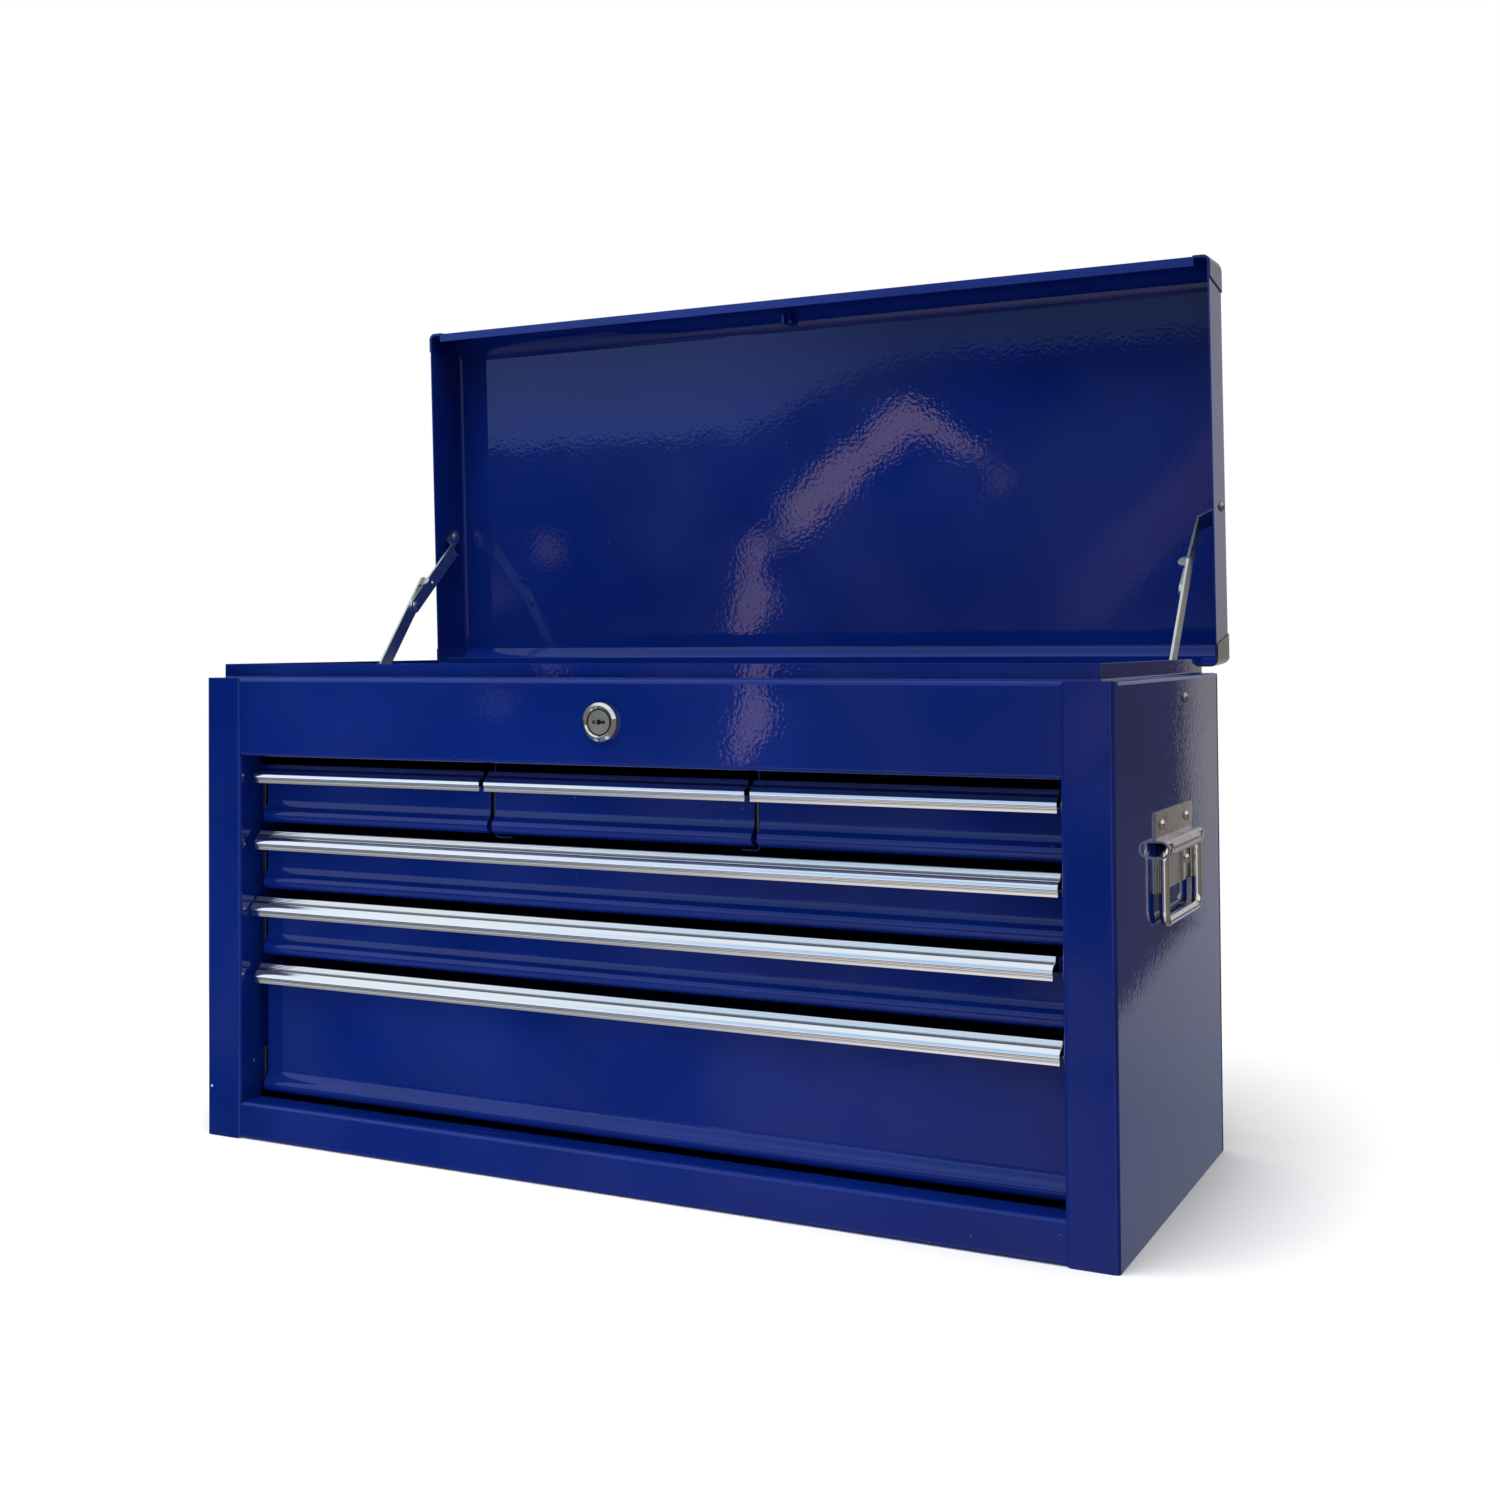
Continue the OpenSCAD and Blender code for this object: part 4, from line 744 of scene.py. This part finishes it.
def slanting_haze(tree, across, height):
    """A wide slanting band to the right."""
    slant = minus(tree, height, times(tree, minus(tree, across, HAZE_START), HAZE_SLOPE))
    band = times(tree, limits(tree, slant, -HAZE_WIDTH, 0.0, 0.008), ramp(tree, across, -0.32, -0.22))
    return times(tree, band, HAZE_SHARE)


def front_room(tree, across, height, x, z, rough):
    """What lies in front of the chest: a yard, a bright sky over a roof line, and spots of sun."""
    over = plus(tree, minus(tree, height, ramp(tree, across, *ROOF, smooth=False)), rough)
    room = blend(tree, ramp(tree, over, -ROOF_EDGE, ROOF_EDGE), front_yard(tree, across, height, z),
                 front_sky(tree, across, height, x, z))
    room = blend(tree, bent_strip(tree, across, height, rough), room, PINK)
    room = blend(tree, upright_streak(tree, across, height, rough), room, PINK)
    for spot in GLINTS:
        room = blend(tree, glint(tree, across, height, rough, *spot), room, PINK)
    return blend(tree, slanting_haze(tree, across, height), room, HAZE)


def back_room(tree, aside, z, rough):
    """What lies behind: pale ground that ends in a ragged dark shape, and a wall to the right."""
    pale = tone(tree, from_minus_one(tree, z), BEHIND)
    pale = blend(tree, times(tree, ramp(tree, aside, 0.30, 0.45), ramp(tree, z, -0.02, 0.02)), pale,
                 BEHIND_RIGHT)
    past = plus(tree, minus(tree, aside, ramp(tree, z, *SHAPE, smooth=False)), rough)
    shape = times(tree, ramp(tree, past, -SHAPE_EDGE, SHAPE_EDGE), ramp(tree, z, 0.01, -0.01))
    room = blend(tree, shape, pale, blend(tree, ramp(tree, z, -0.12, -0.06), SHAPE_LOW, SHAPE_HIGH))
    wall = blend(tree, ramp(tree, z, 0.20, 0.30), WALL_FOOT_BEHIND, WALL_TOP)
    return blend(tree, ramp(tree, aside, 0.5, 1.2), room, wall)


def make_surroundings(fill):
    """White for the camera, soft light from all round, and a yard and sky for reflections."""
    world = bpy.data.worlds.new("studio")
    bpy.context.scene.world = world
    world.use_nodes = True
    tree = world.node_tree
    tree.nodes.clear()
    way = put(tree, "ShaderNodeTexCoord").outputs["Generated"]
    split = put(tree, "ShaderNodeSeparateXYZ", {"Vector": way})
    x, y, z = (split.outputs[a] for a in "XYZ")
    front = math_node(tree, "MAXIMUM", times(tree, y, -1.0), 0.05)
    back = math_node(tree, "MAXIMUM", y, 0.05)
    across, height = math_node(tree, "DIVIDE", x, front), math_node(tree, "DIVIDE", z, front)
    ahead = front_room(tree, across, height, x, z, centred_noise(tree, way, 60.0, 3.0, 0.02))
    behind = back_room(tree, math_node(tree, "DIVIDE", x, back), z,
                       centred_noise(tree, way, 450.0, 2.0, 0.008))
    room = blend(tree, ramp(tree, y, -0.1, 0.3), ahead, behind)
    ray = put(tree, "ShaderNodeLightPath").outputs
    level = ramp(tree, z, -0.1, 0.8, fill * 0.35, fill * 2.1)
    level = times(tree, level, ramp(tree, x, 0.2, 0.8, 1.0, 0.45))
    soft = put(tree, "ShaderNodeBackground", {"Color": WHITE, "Strength": level}).outputs[0]
    mirrored = put(tree, "ShaderNodeBackground", {"Color": room, "Strength": 1.0}).outputs[0]
    seen = put(tree, "ShaderNodeBackground", {"Color": WHITE, "Strength": 1.0}).outputs[0]
    light = put(tree, "ShaderNodeMixShader", {0: ray["Is Glossy Ray"], 1: soft, 2: mirrored}).outputs[0]
    out = put(tree, "ShaderNodeMixShader", {0: ray["Is Camera Ray"], 1: light, 2: seen}).outputs[0]
    put(tree, "ShaderNodeOutputWorld", {"Surface": out})


# ---- panel ----

class TOOLCHEST_PT_panel(bpy.types.Panel):
    """Settings and steps of the tool chest"""
    bl_idname = "TOOLCHEST_PT_panel"
    bl_label = "Tool chest"
    bl_space_type = "VIEW_3D"
    bl_region_type = "UI"
    bl_category = "Tool chest"

    def draw(self, context):
        for group in settings():
            for name in group.__annotations__:
                self.layout.prop(group, name)
        for step in STEPS:
            self.layout.operator(step.bl_idname)


STEPS = [TOOLCHEST_OT_paint, TOOLCHEST_OT_pulls, TOOLCHEST_OT_hardware, TOOLCHEST_OT_rivets,
         TOOLCHEST_OT_lock_face, TOOLCHEST_OT_studio, TOOLCHEST_OT_camera]
CLASSES = [PaintSettings, MetalSettings, StudioSettings] + STEPS + [TOOLCHEST_PT_panel]


def register():
    for cls in CLASSES:
        bpy.utils.register_class(cls)
    bpy.types.Scene.tool_chest_paint = bpy.props.PointerProperty(type=PaintSettings)
    bpy.types.Scene.tool_chest_metal = bpy.props.PointerProperty(type=MetalSettings)
    bpy.types.Scene.tool_chest_studio = bpy.props.PointerProperty(type=StudioSettings)


def unregister():
    for name in ("tool_chest_paint", "tool_chest_metal", "tool_chest_studio"):
        delattr(bpy.types.Scene, name)
    for cls in reversed(CLASSES):
        bpy.utils.unregister_class(cls)


def main():
    register()
    bpy.ops.toolchest.paint()
    bpy.ops.toolchest.pulls()
    bpy.ops.toolchest.hardware()
    bpy.ops.toolchest.rivets()
    bpy.ops.toolchest.lock_face()
    bpy.ops.toolchest.studio()
    bpy.ops.toolchest.camera()


if __name__ == "__main__":
    main()
